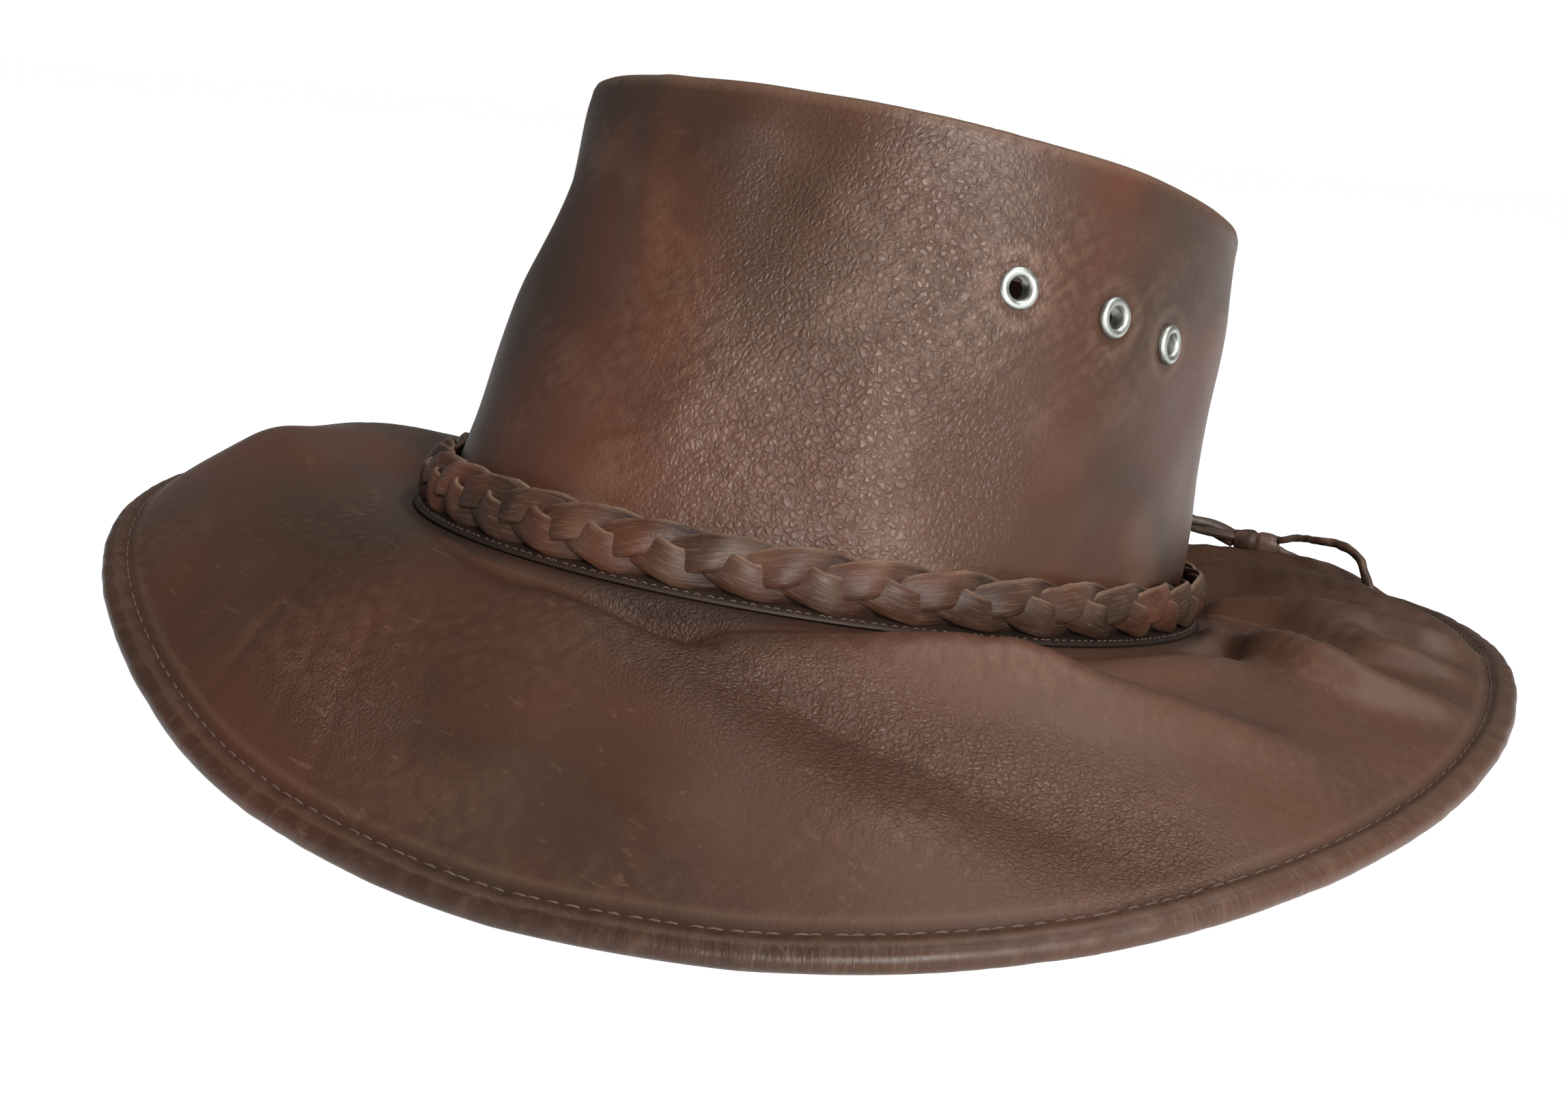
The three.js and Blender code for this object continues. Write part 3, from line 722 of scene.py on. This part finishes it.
def rounded(grid):
    # each end of a swept grid drawn in to a small rounded tip
    first, last = grid[:1], grid[-1:]
    ahead = unit(grid[1].mean(0) - grid[0].mean(0))
    behind = unit(grid[-1].mean(0) - grid[-2].mean(0))
    rows = []
    for scale, out in ((0.02, 0.0004), (0.6, 0.0003)):
        rows.append(first.mean(1, keepdims=True) * (1 - scale) + first * scale - ahead * out)
    rows.append(grid)
    for scale, out in ((0.6, 0.0003), (0.02, 0.0004)):
        rows.append(last.mean(1, keepdims=True) * (1 - scale) + last * scale + behind * out)
    return np.concatenate(rows)


def tubePiece(name, grids, marks=None):
    # one mesh from several swept grids
    points, faces, first = [], [], 0
    for grid in grids:
        made = gridFaces(*grid.shape[:2], closedRows=False, closedColumns=True)
        faces.append(facedOut(grid, made) + first)
        points.append(grid.reshape(-1, 3))
        first += points[-1].shape[0]
    return meshPiece(name, np.concatenate(points), np.concatenate(faces), marks)


def laceSection(halfWidth, halfHeight, count=14, power=3.0):
    # a flat lace: a rounded rectangle
    t = np.linspace(0, 2 * np.pi, count, endpoint=False)
    u = np.sign(np.cos(t)) * np.abs(np.cos(t)) ** (2 / power) * halfWidth
    v = np.sign(np.sin(t)) * np.abs(np.sin(t)) ** (2 / power) * halfHeight
    return np.stack([u, v], -1)


def makeThong(name, rows, twist, node):
    path, length = routeOf(rows, 60)
    radius = tie["thongRadius"]
    grid = rounded(sweep(path, laceSection(radius, radius * 0.8), twist))
    grid = grid + waves(grid, 0.002, 3)[..., None] * 0.00008
    piece = tubePiece(name, [grid], {"wearAndSheen": np.clip(waves(grid, 0.003, 8) * 0.4 + 0.1, 0, 1)})
    dress(piece, thongLeather, "thong_leather", node)
    steps = routeOf(rows, 26)[0]
    print(name, "length", round(float(length) * 1000, 1), "mm")


makeThong("thongLong", tie["longThong"], 1.6, "tie_thong_long")
makeThong("thongShort", tie["shortThong"], 0.8, "tie_thong_short")


def makeBundle():
    path = routeOf(tie["bundle"], 70)[0]
    radius = tie["thongRadius"]
    turn = np.linspace(0, 2.2 * np.pi, len(path))
    grids = []
    for k in range(3):
        spin = turn + k * 2 * np.pi / 3
        offsets = np.stack([np.cos(spin), np.sin(spin)], -1)[:, None] * tie["strandAway"]
        strand = sweep(path, offsets)[:, 0]
        grids.append(rounded(sweep(strand, laceSection(radius * 1.1, radius * 0.95), 2.5)))
    dark = [np.full(grid.shape[:2], 0.35) for grid in grids]
    piece = tubePiece("tieBundle", grids, {"dark": np.concatenate(dark)})
    return dress(piece, thongLeather, "thong_leather", "tie_bundle")


def makeKnot():
    # two wraps of a wide lace round the ends
    path = routeOf(tie["knot"], 40)[0]
    first, last = unit(path[0] - path[1]), unit(path[-1] - path[-2])
    path = np.concatenate([[path[0] + first * 0.001], path, [path[-1] + last * 0.001]])
    t = np.linspace(0, 1, len(path))
    size = tie["knotRadius"] * (0.9 + 0.1 * band(t, 0.27, 0.2, 4) + 0.08 * band(t, 0.75, 0.2, 4))
    size = size - tie["knotGroove"] * band(t, 0.5, 0.05)
    section = laceSection(1.0, 0.92, 24, 2.3)[None] * size[:, None, None]
    grid = rounded(sweep(path, section))
    grid = grid + waves(grid, 0.0025, 21)[..., None] * 0.00012
    along = np.linspace(0, 1, grid.shape[0])[:, None] + 0 * grid[..., 0]
    wearAndSheen = np.clip(waves(grid, 0.004, 9) * 0.3, 0, 1) + 0.25 * (along > 0.5)
    marks = {"wearAndSheen": wearAndSheen, "dark": 0.6 * (along < 0.5)}
    piece = tubePiece("tieKnot", [grid], marks)
    return dress(piece, thongLeather, "thong_leather", "tie_knot")


makeBundle()
makeKnot()
print("tie ready")


# crown
crown = {
    "turns": 440,
    "wall": [0.94, 0.84, 0.72, 0.6, 0.46, 0.32, 0.18, 0.06],
    "top": [0.0, 0.18, 0.42, 0.68, 0.9],
    "innerWall": [0.06, 0.2, 0.36, 0.52, 0.66, 0.8, 0.92],
    "innerTop": [0.95, 0.68, 0.42, 0.18, 0.0],
    "outerStep": 0.0012,
    "flangeSteps": 22,
    "innerStep": 0.004,
    "swell": 0.0006,  # soft unevenness of the leather: height and size
    "swellSize": 0.022,
    "ripple": 0.00008,
    "rippleSize": 0.010,
    "creaseSize": 0.0045,
    "creaseDepth": 0.0001,
    "weltHeight": 0.0005,  # the top edge stands a little proud
    "weltPlace": 0.002,
    "weltWidth": 0.0035,
    "eyeletDent": 0.0004,
    "eyeletDentWidth": 0.006,
    "eyeletHole": 0.0034,
    # painted shadow on the flange under the braid, and painted shade inside the crown
    "flangeShade": 0.92,
    "insideShade": 0.25,
    "gloss": (43, 24),  # middle angle and half width of the pebbled patch's painted sheen
}
eyelets = {
    # side, place, angle, share of the crown's height: the right side mirrors the left
    "rows": [(side, place, sign * turn, share) for side, sign in (("left", 1), ("right", -1))
        for place, turn, share in (("front", 63, 0.702), ("middle", 82.2, 0.689), ("rear", 97, 0.665))],
    "radius": 0.0047,
    "hole": 0.00245,
    "barrel": 0.00295,
    "rollMiddle": 0.0036,
    "rollWidth": 0.0011,
    "rollHeight": 0.001,
    "clinch": [(0.0043, 0.0005), (0.0041, 0.0011), (0.0034, 0.0013), (0.0027, 0.0012)],  # out, depth inside
}


def eyeletFrame(angle, share):
    # middle, outward normal and a side of an eyelet's place in the wall
    point = crownPoint(angle, share, 0.0)
    up = crownPoint(angle, share + 0.03, 0.0) - crownPoint(angle, share - 0.03, 0.0)
    along = crownPoint(angle + 2, share, 0.0) - crownPoint(angle - 2, share, 0.0)
    normal = unit(np.cross(along, up))
    if normal[0] * point[0] + normal[1] * point[1] < 0:
        normal = -normal
    return point, normal, unit(along)


def flangePoint(angle, reach, z):
    return leaned(*footOval(angle, reach), z)


def crownKeys(angle):
    # the crown's section at each angle, from the middle of the top, down the outside and up the inside
    leather = hat["leather"]
    reach = hat["flangeReach"]
    keys = [topPoint(angle, np.full(angle.shape, share), 0.0) for share in [*crown["top"], 1.0]]
    keys.append(crownPoint(angle, 1.0, -0.0007, 0.0007))
    keys.append(crownPoint(angle, 1.0, 0.0, 0.0026))
    keys += [crownPoint(angle, share, 0.0) for share in crown["wall"]]
    keys.append(flangePoint(angle, 0.0012, 0.0024))
    outerCount = len(keys)
    for out, z in ((0.0036, 0.0017), (reach - 0.0005, 0.0007), (reach, 0.0004), (reach, 0.0002)):
        keys.append(flangePoint(angle, out, z))
    for out, z in ((reach - 0.0003, 0.0), (-leather + 0.0004, 0.0), (-leather, 0.0005)):
        keys.append(flangePoint(angle, out, z))
    keys += [crownPoint(angle, share, -leather) for share in crown["innerWall"]]
    keys.append(crownPoint(angle, 1.0, -leather, 0.0044))
    keys += [topPoint(angle, np.full(angle.shape, share), leather) for share in crown["innerTop"]]
    return np.stack(keys, 1), outerCount


def withoutHoles(grid, faces):
    # the faces of the crown that no eyelet goes through
    centres = grid.reshape(-1, 3)[faces].mean(1)
    keep = np.ones(len(faces), bool)
    for _, _, turn, share in eyelets["rows"]:
        point, out, _ = eyeletFrame(turn, share)
        away = centres - point
        depth = away @ out
        aside = np.linalg.norm(away - depth[:, None] * out, axis=1)
        keep &= (aside > crown["eyeletHole"]) | (np.abs(depth) > 0.01)
    return faces[keep]


def makeCrown():
    angle = np.arange(crown["turns"]) * 360 / crown["turns"]
    keys, outerCount = crownKeys(angle)
    knots = knotsOf(keys)
    outerEnd = knots[outerCount - 1]
    flangeEnd = knots[outerCount + 6]
    samples = np.concatenate([
        np.linspace(0, outerEnd, int(outerEnd / crown["outerStep"]), endpoint=False),
        np.linspace(outerEnd, flangeEnd, crown["flangeSteps"], endpoint=False),
        np.linspace(flangeEnd, knots[-1], int((knots[-1] - flangeEnd) / crown["innerStep"])),
    ])
    grid = smoothed(keys, knots, samples)
    normal = gridNormals(grid)
    middle = np.array([0, 0, 0.09])
    outward = np.einsum("ijk,ijk->ij", normal[:, 60:120], (grid - middle)[:, 60:120]).sum()
    normal = normal if outward > 0 else -normal
    rim = knots[len(crown["top"])]
    fade = np.clip((samples - 0.004) / 0.02, 0, 1) * np.clip((outerEnd - samples) / 0.01, 0, 1)
    theta = wrapped(angle)[:, None]
    height = (samples[None] - rim) / (outerEnd - rim)  # 0 at the top edge, 1 at the foot
    push = waves(grid, crown["swellSize"], 5) * crown["swell"]
    push = (push + waves(grid, crown["rippleSize"], 6) * crown["ripple"]) * np.clip(height / 0.25, 0.15, 1)
    calm = np.clip((theta + 5) / 25, 0.3, 1) * np.clip((105 - theta) / 30, 0.4, 1)  # beside the pebbled patch with the painted sheen
    fine = creases(grid, crown["creaseSize"], 30, 12, 0.35) * calm
    push = push - fine * crown["creaseDepth"]
    for _, _, turn, share in eyelets["rows"]:
        away = np.linalg.norm(grid - eyeletFrame(turn, share)[0], axis=-1)
        push = push - crown["eyeletDent"] * band(away, 0, crown["eyeletDentWidth"], 4)
    welt = band(samples, rim + crown["weltPlace"], crown["weltWidth"])[None]
    push = (push + welt * crown["weltHeight"]) * fade[None]
    grid = grid + normal * push[..., None]
    # marks for the leather: wear and painted sheen, darker tone and painted shade, reddish places
    # paler: wear on bumps, and painted highlight over the sheen patch and on the welt along the top edge
    sheenPatch = band(theta, *crown["gloss"], 4) * band(height, 0.55, 0.5, 4)
    wearAndSheen = np.clip(-hollows(push) / 0.00025, 0, 1) * 0.5 + welt * 0.06 + 0.2 * sheenPatch
    inside = (samples > flangeEnd).astype(float)[None]
    foot = np.clip((samples - outerEnd) / 0.0015, 0, 1)[None]
    wall = np.clip((samples - rim + 0.004) / 0.008, 0, 1)[None]
    # darker at the wearer's right front, partly its own tone and partly painted shade; painted shade in a
    # patch under the top edge, where the dent is; a little darker at the left side
    shade = np.clip((6 - theta) / 26, 0, 1) * np.clip((theta + 110) / 40, 0, 1) * 0.62
    shade = shade + band(theta, 12, 9) * band(height, 0.14, 0.12) * 0.4 + band(theta, 86, 20, 4) * 0.12
    outside = foot * crown["flangeShade"] + shade * wall
    # darker: painted shade in the creases, inside the crown, on the flange under the braid and in the shade
    # mask
    dark = fine * 0.1 + inside * crown["insideShade"] + (1 - inside) * outside
    warm = np.clip(waves(grid, 0.045, 70) * 0.6, 0, 0.6) + welt * 0.15
    warm = warm + 0.7 * band(theta, 2, 15) * np.clip(height * 2.5, 0, 1) + 0.4 * wall * band(theta, 77, 9)
    crinkle = band(theta, 40, 27) * band(height, 0.5, 0.45, 4)
    faces = withoutHoles(grid, facedOut(grid, gridFaces(*grid.shape[:2])))
    marks = {"wearAndSheen": wearAndSheen, "dark": np.clip(dark, 0, 1), "warm": np.clip(warm, 0, 1), "crinkle": crinkle}
    piece = meshPiece("crown", grid, faces, marks)
    return dress(piece, crownLeather, "crown_leather", "crown")


makeCrown()
print("crown ready")


def makeEyelet(side, place, angle, share):
    # rolled rim outside, barrel through the wall, clinched rim inside
    point, out, along = eyeletFrame(angle, share)
    hole, radius, barrel, leather = eyelets["hole"], eyelets["radius"], eyelets["barrel"], hat["leather"]
    profile = [(hole, -0.001), (hole, 0.0004)]
    for turn in np.radians(np.arange(160, -31, -12)):
        away = eyelets["rollMiddle"] + eyelets["rollWidth"] * math.cos(turn)
        profile.append((away, 0.0003 + eyelets["rollHeight"] * math.sin(turn)))
    profile += [(radius, -0.0002), (barrel, -0.0003), (barrel, -leather - 0.0004)]
    profile += [(away, -leather - deep) for away, deep in eyelets["clinch"]]
    profile.append((hole, -leather - 0.0008))
    turns = np.linspace(0, 2 * np.pi, 40, endpoint=False)
    up = np.cross(out, along)
    radial = along * np.cos(turns)[:, None] + up * np.sin(turns)[:, None]
    grid = np.stack([point + radial * r + out * h for r, h in profile], 1)
    grid = grid + waves(grid, 0.003, 44)[..., None] * out * 0.00005
    faces = facedOut(grid, gridFaces(*grid.shape[:2], closedColumns=True))
    piece = meshPiece(f"eyelet{side.title()}{place.title()}", grid, faces)
    return dress(piece, eyeletMetal, "eyelet_metal", f"eyelet_{side}_{place}")


for row in eyelets["rows"]:
    makeEyelet(*row)
print("eyelets ready")


# brim
brim = {
    "turns": 840,
    "topShares": [-1, -0.5, 0, 0.04, 0.08, 0.125, 0.17, 0.22, 0.27, 0.325, 0.38, 0.44, 0.5, 0.56,
        0.62, 0.68, 0.74, 0.795, 0.85, 0.89, 0.915, 0.935, 0.95, 0.965, 0.98],
    "beadTurns": [78, 55, 32, 10, -10, -30, -48, -65, -90, -115, -135, -155],
    "underShares": [0.93, 0.9, 0.85, 0.74, 0.62, 0.5, 0.38, 0.27, 0.17, 0.08, 0, -1],
    "topStep": 0.0013,
    "beadSteps": 24,
    "underStep": 0.003,
    "flangeShare": 0.04,
    "stitchShare": 0.95,
    "thickFrom": 0.945,  # share from where the leather thickens towards the hem
    "thicken": 0.034,
    "swell": 0.0006,
    "swellSize": 0.02,
    "ripple": 0.00006,
    "rippleSize": 0.009,
    "creaseSize": 0.005,
    "creaseDepth": 0.0001,
    "hemRadius": 0.17,  # turns an angle into metres along the hem
    "hemWrinkle": 0.0001,
    "wrinkleSize": 0.004,
    "groove": 0.0004,  # under the stitches
    "grooveWidth": 0.0008,
    "turned": 0.0004,  # the leather turned over the hem stands proud
    "valleyWidth": 0.017,  # of the pebbled skin along the near valley
}
# a narrower crest on top of a fold: row of foldRows, width, lift
sharperCrests = [
    (4, 0.0036, 0.0016), (5, 0.0036, 0.0012), (6, 0.0036, 0.0016), (7, 0.0036, 0.0014), (8, 0.0038, 0.0012),
    (1, 0.0045, 0.0016),
]
# small folds on top of the brim's own: width, lift, path of (angle, share)
smallFolds = [
    (0.0065, -0.0034, [(2, 0.06), (20, 0.075), (34, 0.085), (46, 0.085), (58, 0.08)]),
    (0.0060, -0.0018, [(28, 0.075), (38, 0.09), (52, 0.09), (64, 0.08)]),
    (0.0060, 0.0014, [(16, 0.13), (30, 0.19), (42, 0.24), (54, 0.27)]),
    (0.0022, -0.0008, [(30, 0.1), (42, 0.3), (55, 0.5), (66, 0.78)]),
    (0.0018, -0.0007, [(36, 0.18), (47, 0.36), (58, 0.52), (72, 0.8)]),
    *[(width, lift, foldRows[row][2]) for row, width, lift in sharperCrests],
    (0.0090, 0.0022, [(-33, 0.15), (-38, 0.33), (-52, 0.77)]),
    (0.0024, -0.0005, [(-14, 0.55), (-10, 0.88)]),
    (0.0020, -0.0007, [(-8, 0.5), (-5, 0.9)]),
    (0.0016, -0.0006, [(-2, 0.45), (2, 0.85)]),
    (0.0018, -0.0008, [(3, 0.5), (8, 0.9)]),
    (0.0020, -0.0004, [(11, 0.55), (15, 0.86)]),
]


def brimSkin(angle, share, side):
    step = 0.01
    low = min(share, -step) if share < 0 else min(share, 1 - step)
    across = brimMiddle(angle, low + step, smallFolds) - brimMiddle(angle, low, smallFolds)
    along = brimMiddle(angle + 1, share, smallFolds) - brimMiddle(angle - 1, share, smallFolds)
    normal = unit(np.cross(along, across))
    normal = normal * np.sign(normal[..., 2:])
    return brimMiddle(angle, share, smallFolds) + normal * side


def brimKeys(angle):
    # the brim's section at each angle: over the top, round the bead and back underneath
    half = hat["brimLeather"] / 2
    keys = []
    for share in brim["topShares"]:
        keys.append(brimSkin(angle, share, half + max(0, share - brim["thickFrom"]) * brim["thicken"]))
    middle = brimMiddle(angle, 1.0)
    t = np.radians(angle)
    out = unit(np.stack([np.sin(t) / hat["hemHalfWidth"], -np.cos(t) / hat["hemHalfLength"], 0 * t], -1))
    up = np.array([0, 0, 1.0])
    for turn in np.radians(brim["beadTurns"]):
        keys.append(middle + hat["beadRadius"] * (out * math.cos(turn) + up * math.sin(turn)))
    keys += [brimSkin(angle, share, -half) for share in brim["underShares"]]
    return np.stack(keys, 1)


def makeBrim():
    angle = np.arange(brim["turns"]) * 360 / brim["turns"]
    shares = brim["topShares"]
    keys = brimKeys(angle)
    knots = knotsOf(keys)
    topEnd = knots[len(shares) - 1]
    beadEnd = knots[len(shares) + len(brim["beadTurns"])]
    samples = np.concatenate([
        np.linspace(0, topEnd, int(topEnd / brim["topStep"]), endpoint=False),
        np.linspace(topEnd, beadEnd, brim["beadSteps"], endpoint=False),
        np.linspace(beadEnd, knots[-1], int((knots[-1] - beadEnd) / brim["underStep"])),
    ])
    grid = smoothed(keys, knots, samples)
    normal = gridNormals(grid, closedAcross=True)
    if normal[:, 20:40, 2].sum() < 0:
        normal = -normal
    flangeKnot = knots[shares.index(brim["flangeShare"])]
    top = np.clip((samples - flangeKnot) / 0.006, 0, 1) * np.clip((beadEnd - samples) / 0.004, 0, 1)
    stitchKnot = np.interp(brim["stitchShare"], shares, knots[: len(shares)])
    push = waves(grid, brim["swellSize"], 15) * brim["swell"]
    push = push + waves(grid, brim["rippleSize"], 16) * brim["ripple"]
    push = push * np.clip((topEnd - samples - 0.003) / 0.02, 0.1, 1)
    fine = creases(grid, brim["creaseSize"], 31, 17, 0.4)
    push = push - fine * brim["creaseDepth"]
    # the rolled hem: small wrinkles across the bead, a groove at the stitches
    hem = band(samples, topEnd + 0.002, 0.005)[None]
    ring = np.radians(angle)[:, None] * brim["hemRadius"] + 0 * samples[None]
    flow = np.stack([ring, 0 * ring + samples[None], 0 * ring], -1)
    wrinkles = waves(flow * np.array([1, 0.3, 1]), brim["wrinkleSize"], 19)
    push = push + hem * wrinkles * brim["hemWrinkle"]
    groove = band(samples, stitchKnot, brim["grooveWidth"])[None]
    turned = np.clip((samples - stitchKnot) / 0.002, 0, 1)[None]
    push = (push - groove * brim["groove"] + turned * brim["turned"]) * top[None]
    floor = np.clip((grid[..., 2] - 0.0006) / 0.002, 0, 1)
    grid = grid + normal * (push * floor)[..., None]
    grid[..., 2] = np.maximum(grid[..., 2], 0.0)
    # marks for the leather: worn, darker places with painted shade, reddish and pebbled places
    theta = wrapped(angle)[:, None]
    share = np.interp(samples, knots[: len(shares)], shares)[None] + 0 * theta
    wearAndSheen = np.clip(-hollows(push) / 0.0003, 0, 1) * 0.2
    wearAndSheen = wearAndSheen + 0.2 * band(theta, 92, 40, 4) + 0.1 * band(theta, -60, 36, 4)
    # painted shade in the creases, in the stitch groove, under the crown's flange and over the front; darker
    # along the hem
    dark = np.clip(fine * 0.05 + groove * 0.25, 0, 1) + (samples < flangeKnot)[None] * 0.5
    dark = dark + 0.2 * band(theta, 18, 38, 4) + 0.28 * hem
    warm = np.clip(waves(grid, 0.05, 71) * 0.45, 0, 0.6) * (1 - 0.7 * band(theta, 108, 36, 4))
    valley = pathDistance(angle[:, None] + 0 * share, share, foldRows[0][2])[0]
    crinkle = 0.75 * band(valley, 0, brim["valleyWidth"]) + 0.6 * band(theta, 3, 13) * band(share, 0.7, 0.2)
    crinkle = np.clip(crinkle, 0, 1) * (samples < topEnd)[None]
    bead = band(samples, topEnd + 0.0035, 0.0042, 4)[None] * np.clip(0.6 + waves(flow, 0.03, 23), 0.25, 1)
    faces = facedOut(grid, gridFaces(*grid.shape[:2], closedColumns=True))
    marks = {"wearAndSheen": wearAndSheen, "dark": np.clip(dark, 0, 1), "warm": np.clip(warm, 0, 1), "crinkle": crinkle}
    marks |= {"grain": bead, "flow": flow}
    piece = meshPiece("brim", grid, faces, marks)
    dress(piece, brimLeather, "brim_leather", "brim")
    lineAt = np.argmin(np.abs(samples - stitchKnot))
    return grid[:, lineAt], normal[:, lineAt]


hemLine, hemNormal = makeBrim()
print("brim ready")


# stitches: short thread loops along a closed line
def makeStitches(name, line, normal, pitch, length, radius, sink):
    ring = np.concatenate([line, line[:1]])
    away = np.concatenate([normal, normal[:1]])
    distance = np.concatenate([[0], np.cumsum(np.linalg.norm(np.diff(ring, axis=0), axis=1))])
    count = int(distance[-1] / pitch)
    random = np.random.default_rng(4)
    grids = []
    section = laceSection(1.0, 1.0, 7, 2.0)
    for k in range(count):
        start = (k + 0.2 * random.uniform(-1, 1)) * distance[-1] / count
        long = length * random.uniform(0.8, 1.1)
        t = np.linspace(0, 1, 7)
        place = (start + t * long) % distance[-1]
        path = np.stack([np.interp(place, distance, ring[:, i]) for i in range(3)], -1)
        out = unit(np.stack([np.interp(place, distance, away[:, i]) for i in range(3)], -1))
        rise = np.sin(np.pi * t) ** 0.5 * (radius + sink) - sink
        path = path + out * rise[:, None]
        thick = radius * (0.75 + 0.25 * np.sin(np.pi * t))
        grids.append(sweep(path, section[None] * thick[:, None, None]))
    piece = tubePiece(name, grids)
    piece.data.materials.append(thread)
    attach(piece, "root")
    return piece


hemThread = {"pitch": 0.0036, "length": 0.0029, "radius": 0.00023, "sink": 0.0002}
footThread = {"pitch": 0.0023, "length": 0.0012, "radius": 0.00016, "sink": 0.0001}
footSeam = {"inset": 0.0012, "height": 0.0011}  # from the flange's edge, over the crown's foot
makeStitches("hemStitches", hemLine, hemNormal, **hemThread)

turn = np.arange(720) / 2.0
footLine = flangePoint(turn, hat["flangeReach"] - footSeam["inset"], footSeam["height"])
footNormal = np.broadcast_to(unit(leaned(0.0, 0.0, 1.0) - leaned(0.0, 0.0, 0.0)), footLine.shape)
makeStitches("footStitches", footLine, footNormal, **footThread)
print("stitches ready")


# braid: three flat strands plaited round the crown's foot
braid = {
    "strands": 3,
    "lobes": 38,  # on each edge
    "halfStrap": 0.0039,
    "sway": 0.0026,
    "halfThickness": 0.00115,
    "weave": 0.0014,
    "roll": 0.35,
    "cupped": 0.0004,
    "ragged": 0.00018,
    "middleHeight": 0.0079,  # over the crown's foot
    "lineRadius": 0.098,
    "middleReach": 0.0048,  # out from the wall
    "stepsPerLobe": 22,
}


def braidPlace(turn, up, out):
    height = (braid["middleHeight"] + up) / hat["crownHeight"]
    return crownPoint(turn, height, out)


def makeBraid():
    # one line that goes three times round, a third of a period later each time, makes all three strands
    count = braid["lobes"] * braid["stepsPerLobe"]
    degrees = 360.0 * braid["strands"]
    phase = np.arange(count) * 2 * np.pi / braid["stepsPerLobe"]
    turn = np.arange(count) * degrees / count
    sway = braid["sway"]
    rate = degrees / count / (2 * np.pi / braid["stepsPerLobe"])  # degrees of turn for each radian of phase
    metresPerDegree = braid["lineRadius"] * 2 * np.pi / 360
    across = sway * np.sin(phase)
    lean = np.arctan2(sway * np.cos(phase), rate * metresPerDegree)
    depth = braid["weave"] * np.sin(2 * phase)
    roll = -braid["roll"] * np.cos(phase) * np.sin(2 * phase)
    section = np.sin(np.linspace(-0.5, 0.5, 17) * np.pi)
    line = np.stack([phase, 0 * phase, 0 * phase], -1) * 0.01
    half = braid["halfStrap"] * (1 + 0.05 * waves(line, 0.02, 5))
    # round each strand: the outer side, then the flatter inner one
    outline = [(u, 1.0) for u in section] + [(u, -0.8) for u in section[1:-1][::-1]]
    rows = []
    for u, side in outline:
        offset = u * half
        thick = braid["halfThickness"] * (1 - np.abs(u) ** 4) ** 0.5 * side
        up = across + offset * np.cos(lean)
        along = -offset * np.sin(lean)
        out = braid["middleReach"] + depth + thick + offset * np.sin(roll) - braid["cupped"] * u**2
        rows.append(braidPlace(turn + along / metresPerDegree, up, out))
    grid = np.stack(rows, 1)
    strapU = np.array([u for u, side in outline])[None] + 0 * grid[..., 0]
    edge = np.abs(strapU) ** 14
    ragged = waves(grid, 0.0016, 91) * braid["ragged"] * edge
    grid = grid + ragged[..., None] * np.array([0, 0, 1.0])
    reddish = band(wrapped(turn), -8, 38, 4)[:, None]
    along = turn[:, None] * metresPerDegree + 0 * strapU
    flow = np.stack([along, strapU * braid["halfStrap"], 0 * strapU], -1)
    marks = {
        # pale strap edges, the upper edge paler as painted highlight; painted shade where a strand passes
        # under the others
        "wearAndSheen": np.clip(edge * np.where(strapU > 0, 0.9, 0.3) + waves(grid, 0.006, 93) * 0.12, 0, 1),
        "dark": np.clip((0.0002 - depth[:, None]) / 0.0016, 0, 1) * 0.8 + 0 * edge,
        "warm": np.clip(waves(grid, 0.02, 94) * 0.5 + 0.15 + 0.35 * reddish, 0, 0.8),
        "grain": 1 + 0 * edge,
        "flow": flow,
    }
    faces = facedOut(grid, gridFaces(*grid.shape[:2], closedColumns=True))
    piece = meshPiece("braid", grid, faces, marks)
    return dress(piece, braidLeather, "braid_leather", "braid")


makeBraid()
print("braid ready")


# floor, light and sky
def makeFloor():
    size = 40.0
    points = [(-size, -size, 0), (size, -size, 0), (size, size, 0), (-size, size, 0)]
    piece = meshPiece("floor", points, [(0, 1, 2, 3)])
    s = Shader("floorPaint")
    colour = s.blend(s.noise(0.5, 2.0), (0.54, 0.54, 0.54), (0.56, 0.56, 0.56))
    values = {"Base Color": colour, "Roughness": 1.0, "Specular IOR Level": 0.0}
    values |= {"Emission Color": (1, 1, 1), "Emission Strength": 0.88}
    piece.data.materials.append(s.finish(values))


lights = [
    # name, place, size, power
    ("keyLight", (1.14, -0.67, 0.55), 0.6, 33),
    ("topLight", (0.5, 0.2, 1.4), 0.8, 10),
]
hatMiddle = Vector((0, 0, 0.07))  # each light looks at it
sky = {"seen": 1.1, "light": 0.22, "tint": (1, 0.965, 0.93, 1)}


def makeLights():
    for name, place, size, power in lights:
        data = bpy.data.lights.new(name, "AREA")
        data.shape = "DISK"
        data.size = size
        data.energy = power
        made = bpy.data.objects.new(name, data)
        bpy.context.scene.collection.objects.link(made)
        toHat = hatMiddle - Vector(place)
        made.matrix_world = Matrix.Translation(place) @ toHat.to_track_quat("-Z", "Y").to_matrix().to_4x4()


def makeSky():
    # the sky that is seen is white, the sky that lights the leather is dimmer, as in a dim room
    world = bpy.data.worlds.new("sky")
    bpy.context.scene.world = world
    world.use_nodes = True
    nodes, links = world.node_tree.nodes, world.node_tree.links
    background = nodes["Background"]
    background.inputs["Color"].default_value = sky["tint"]
    path = nodes.new("ShaderNodeLightPath")
    strength = nodes.new("ShaderNodeMapRange")
    strength.inputs["To Min"].default_value = sky["light"]
    strength.inputs["To Max"].default_value = sky["seen"]
    links.new(path.outputs["Is Camera Ray"], strength.inputs["Value"])
    links.new(strength.outputs["Result"], background.inputs["Strength"])


makeFloor()
makeLights()
makeSky()
bpy.context.scene.view_settings.view_transform = "Standard"
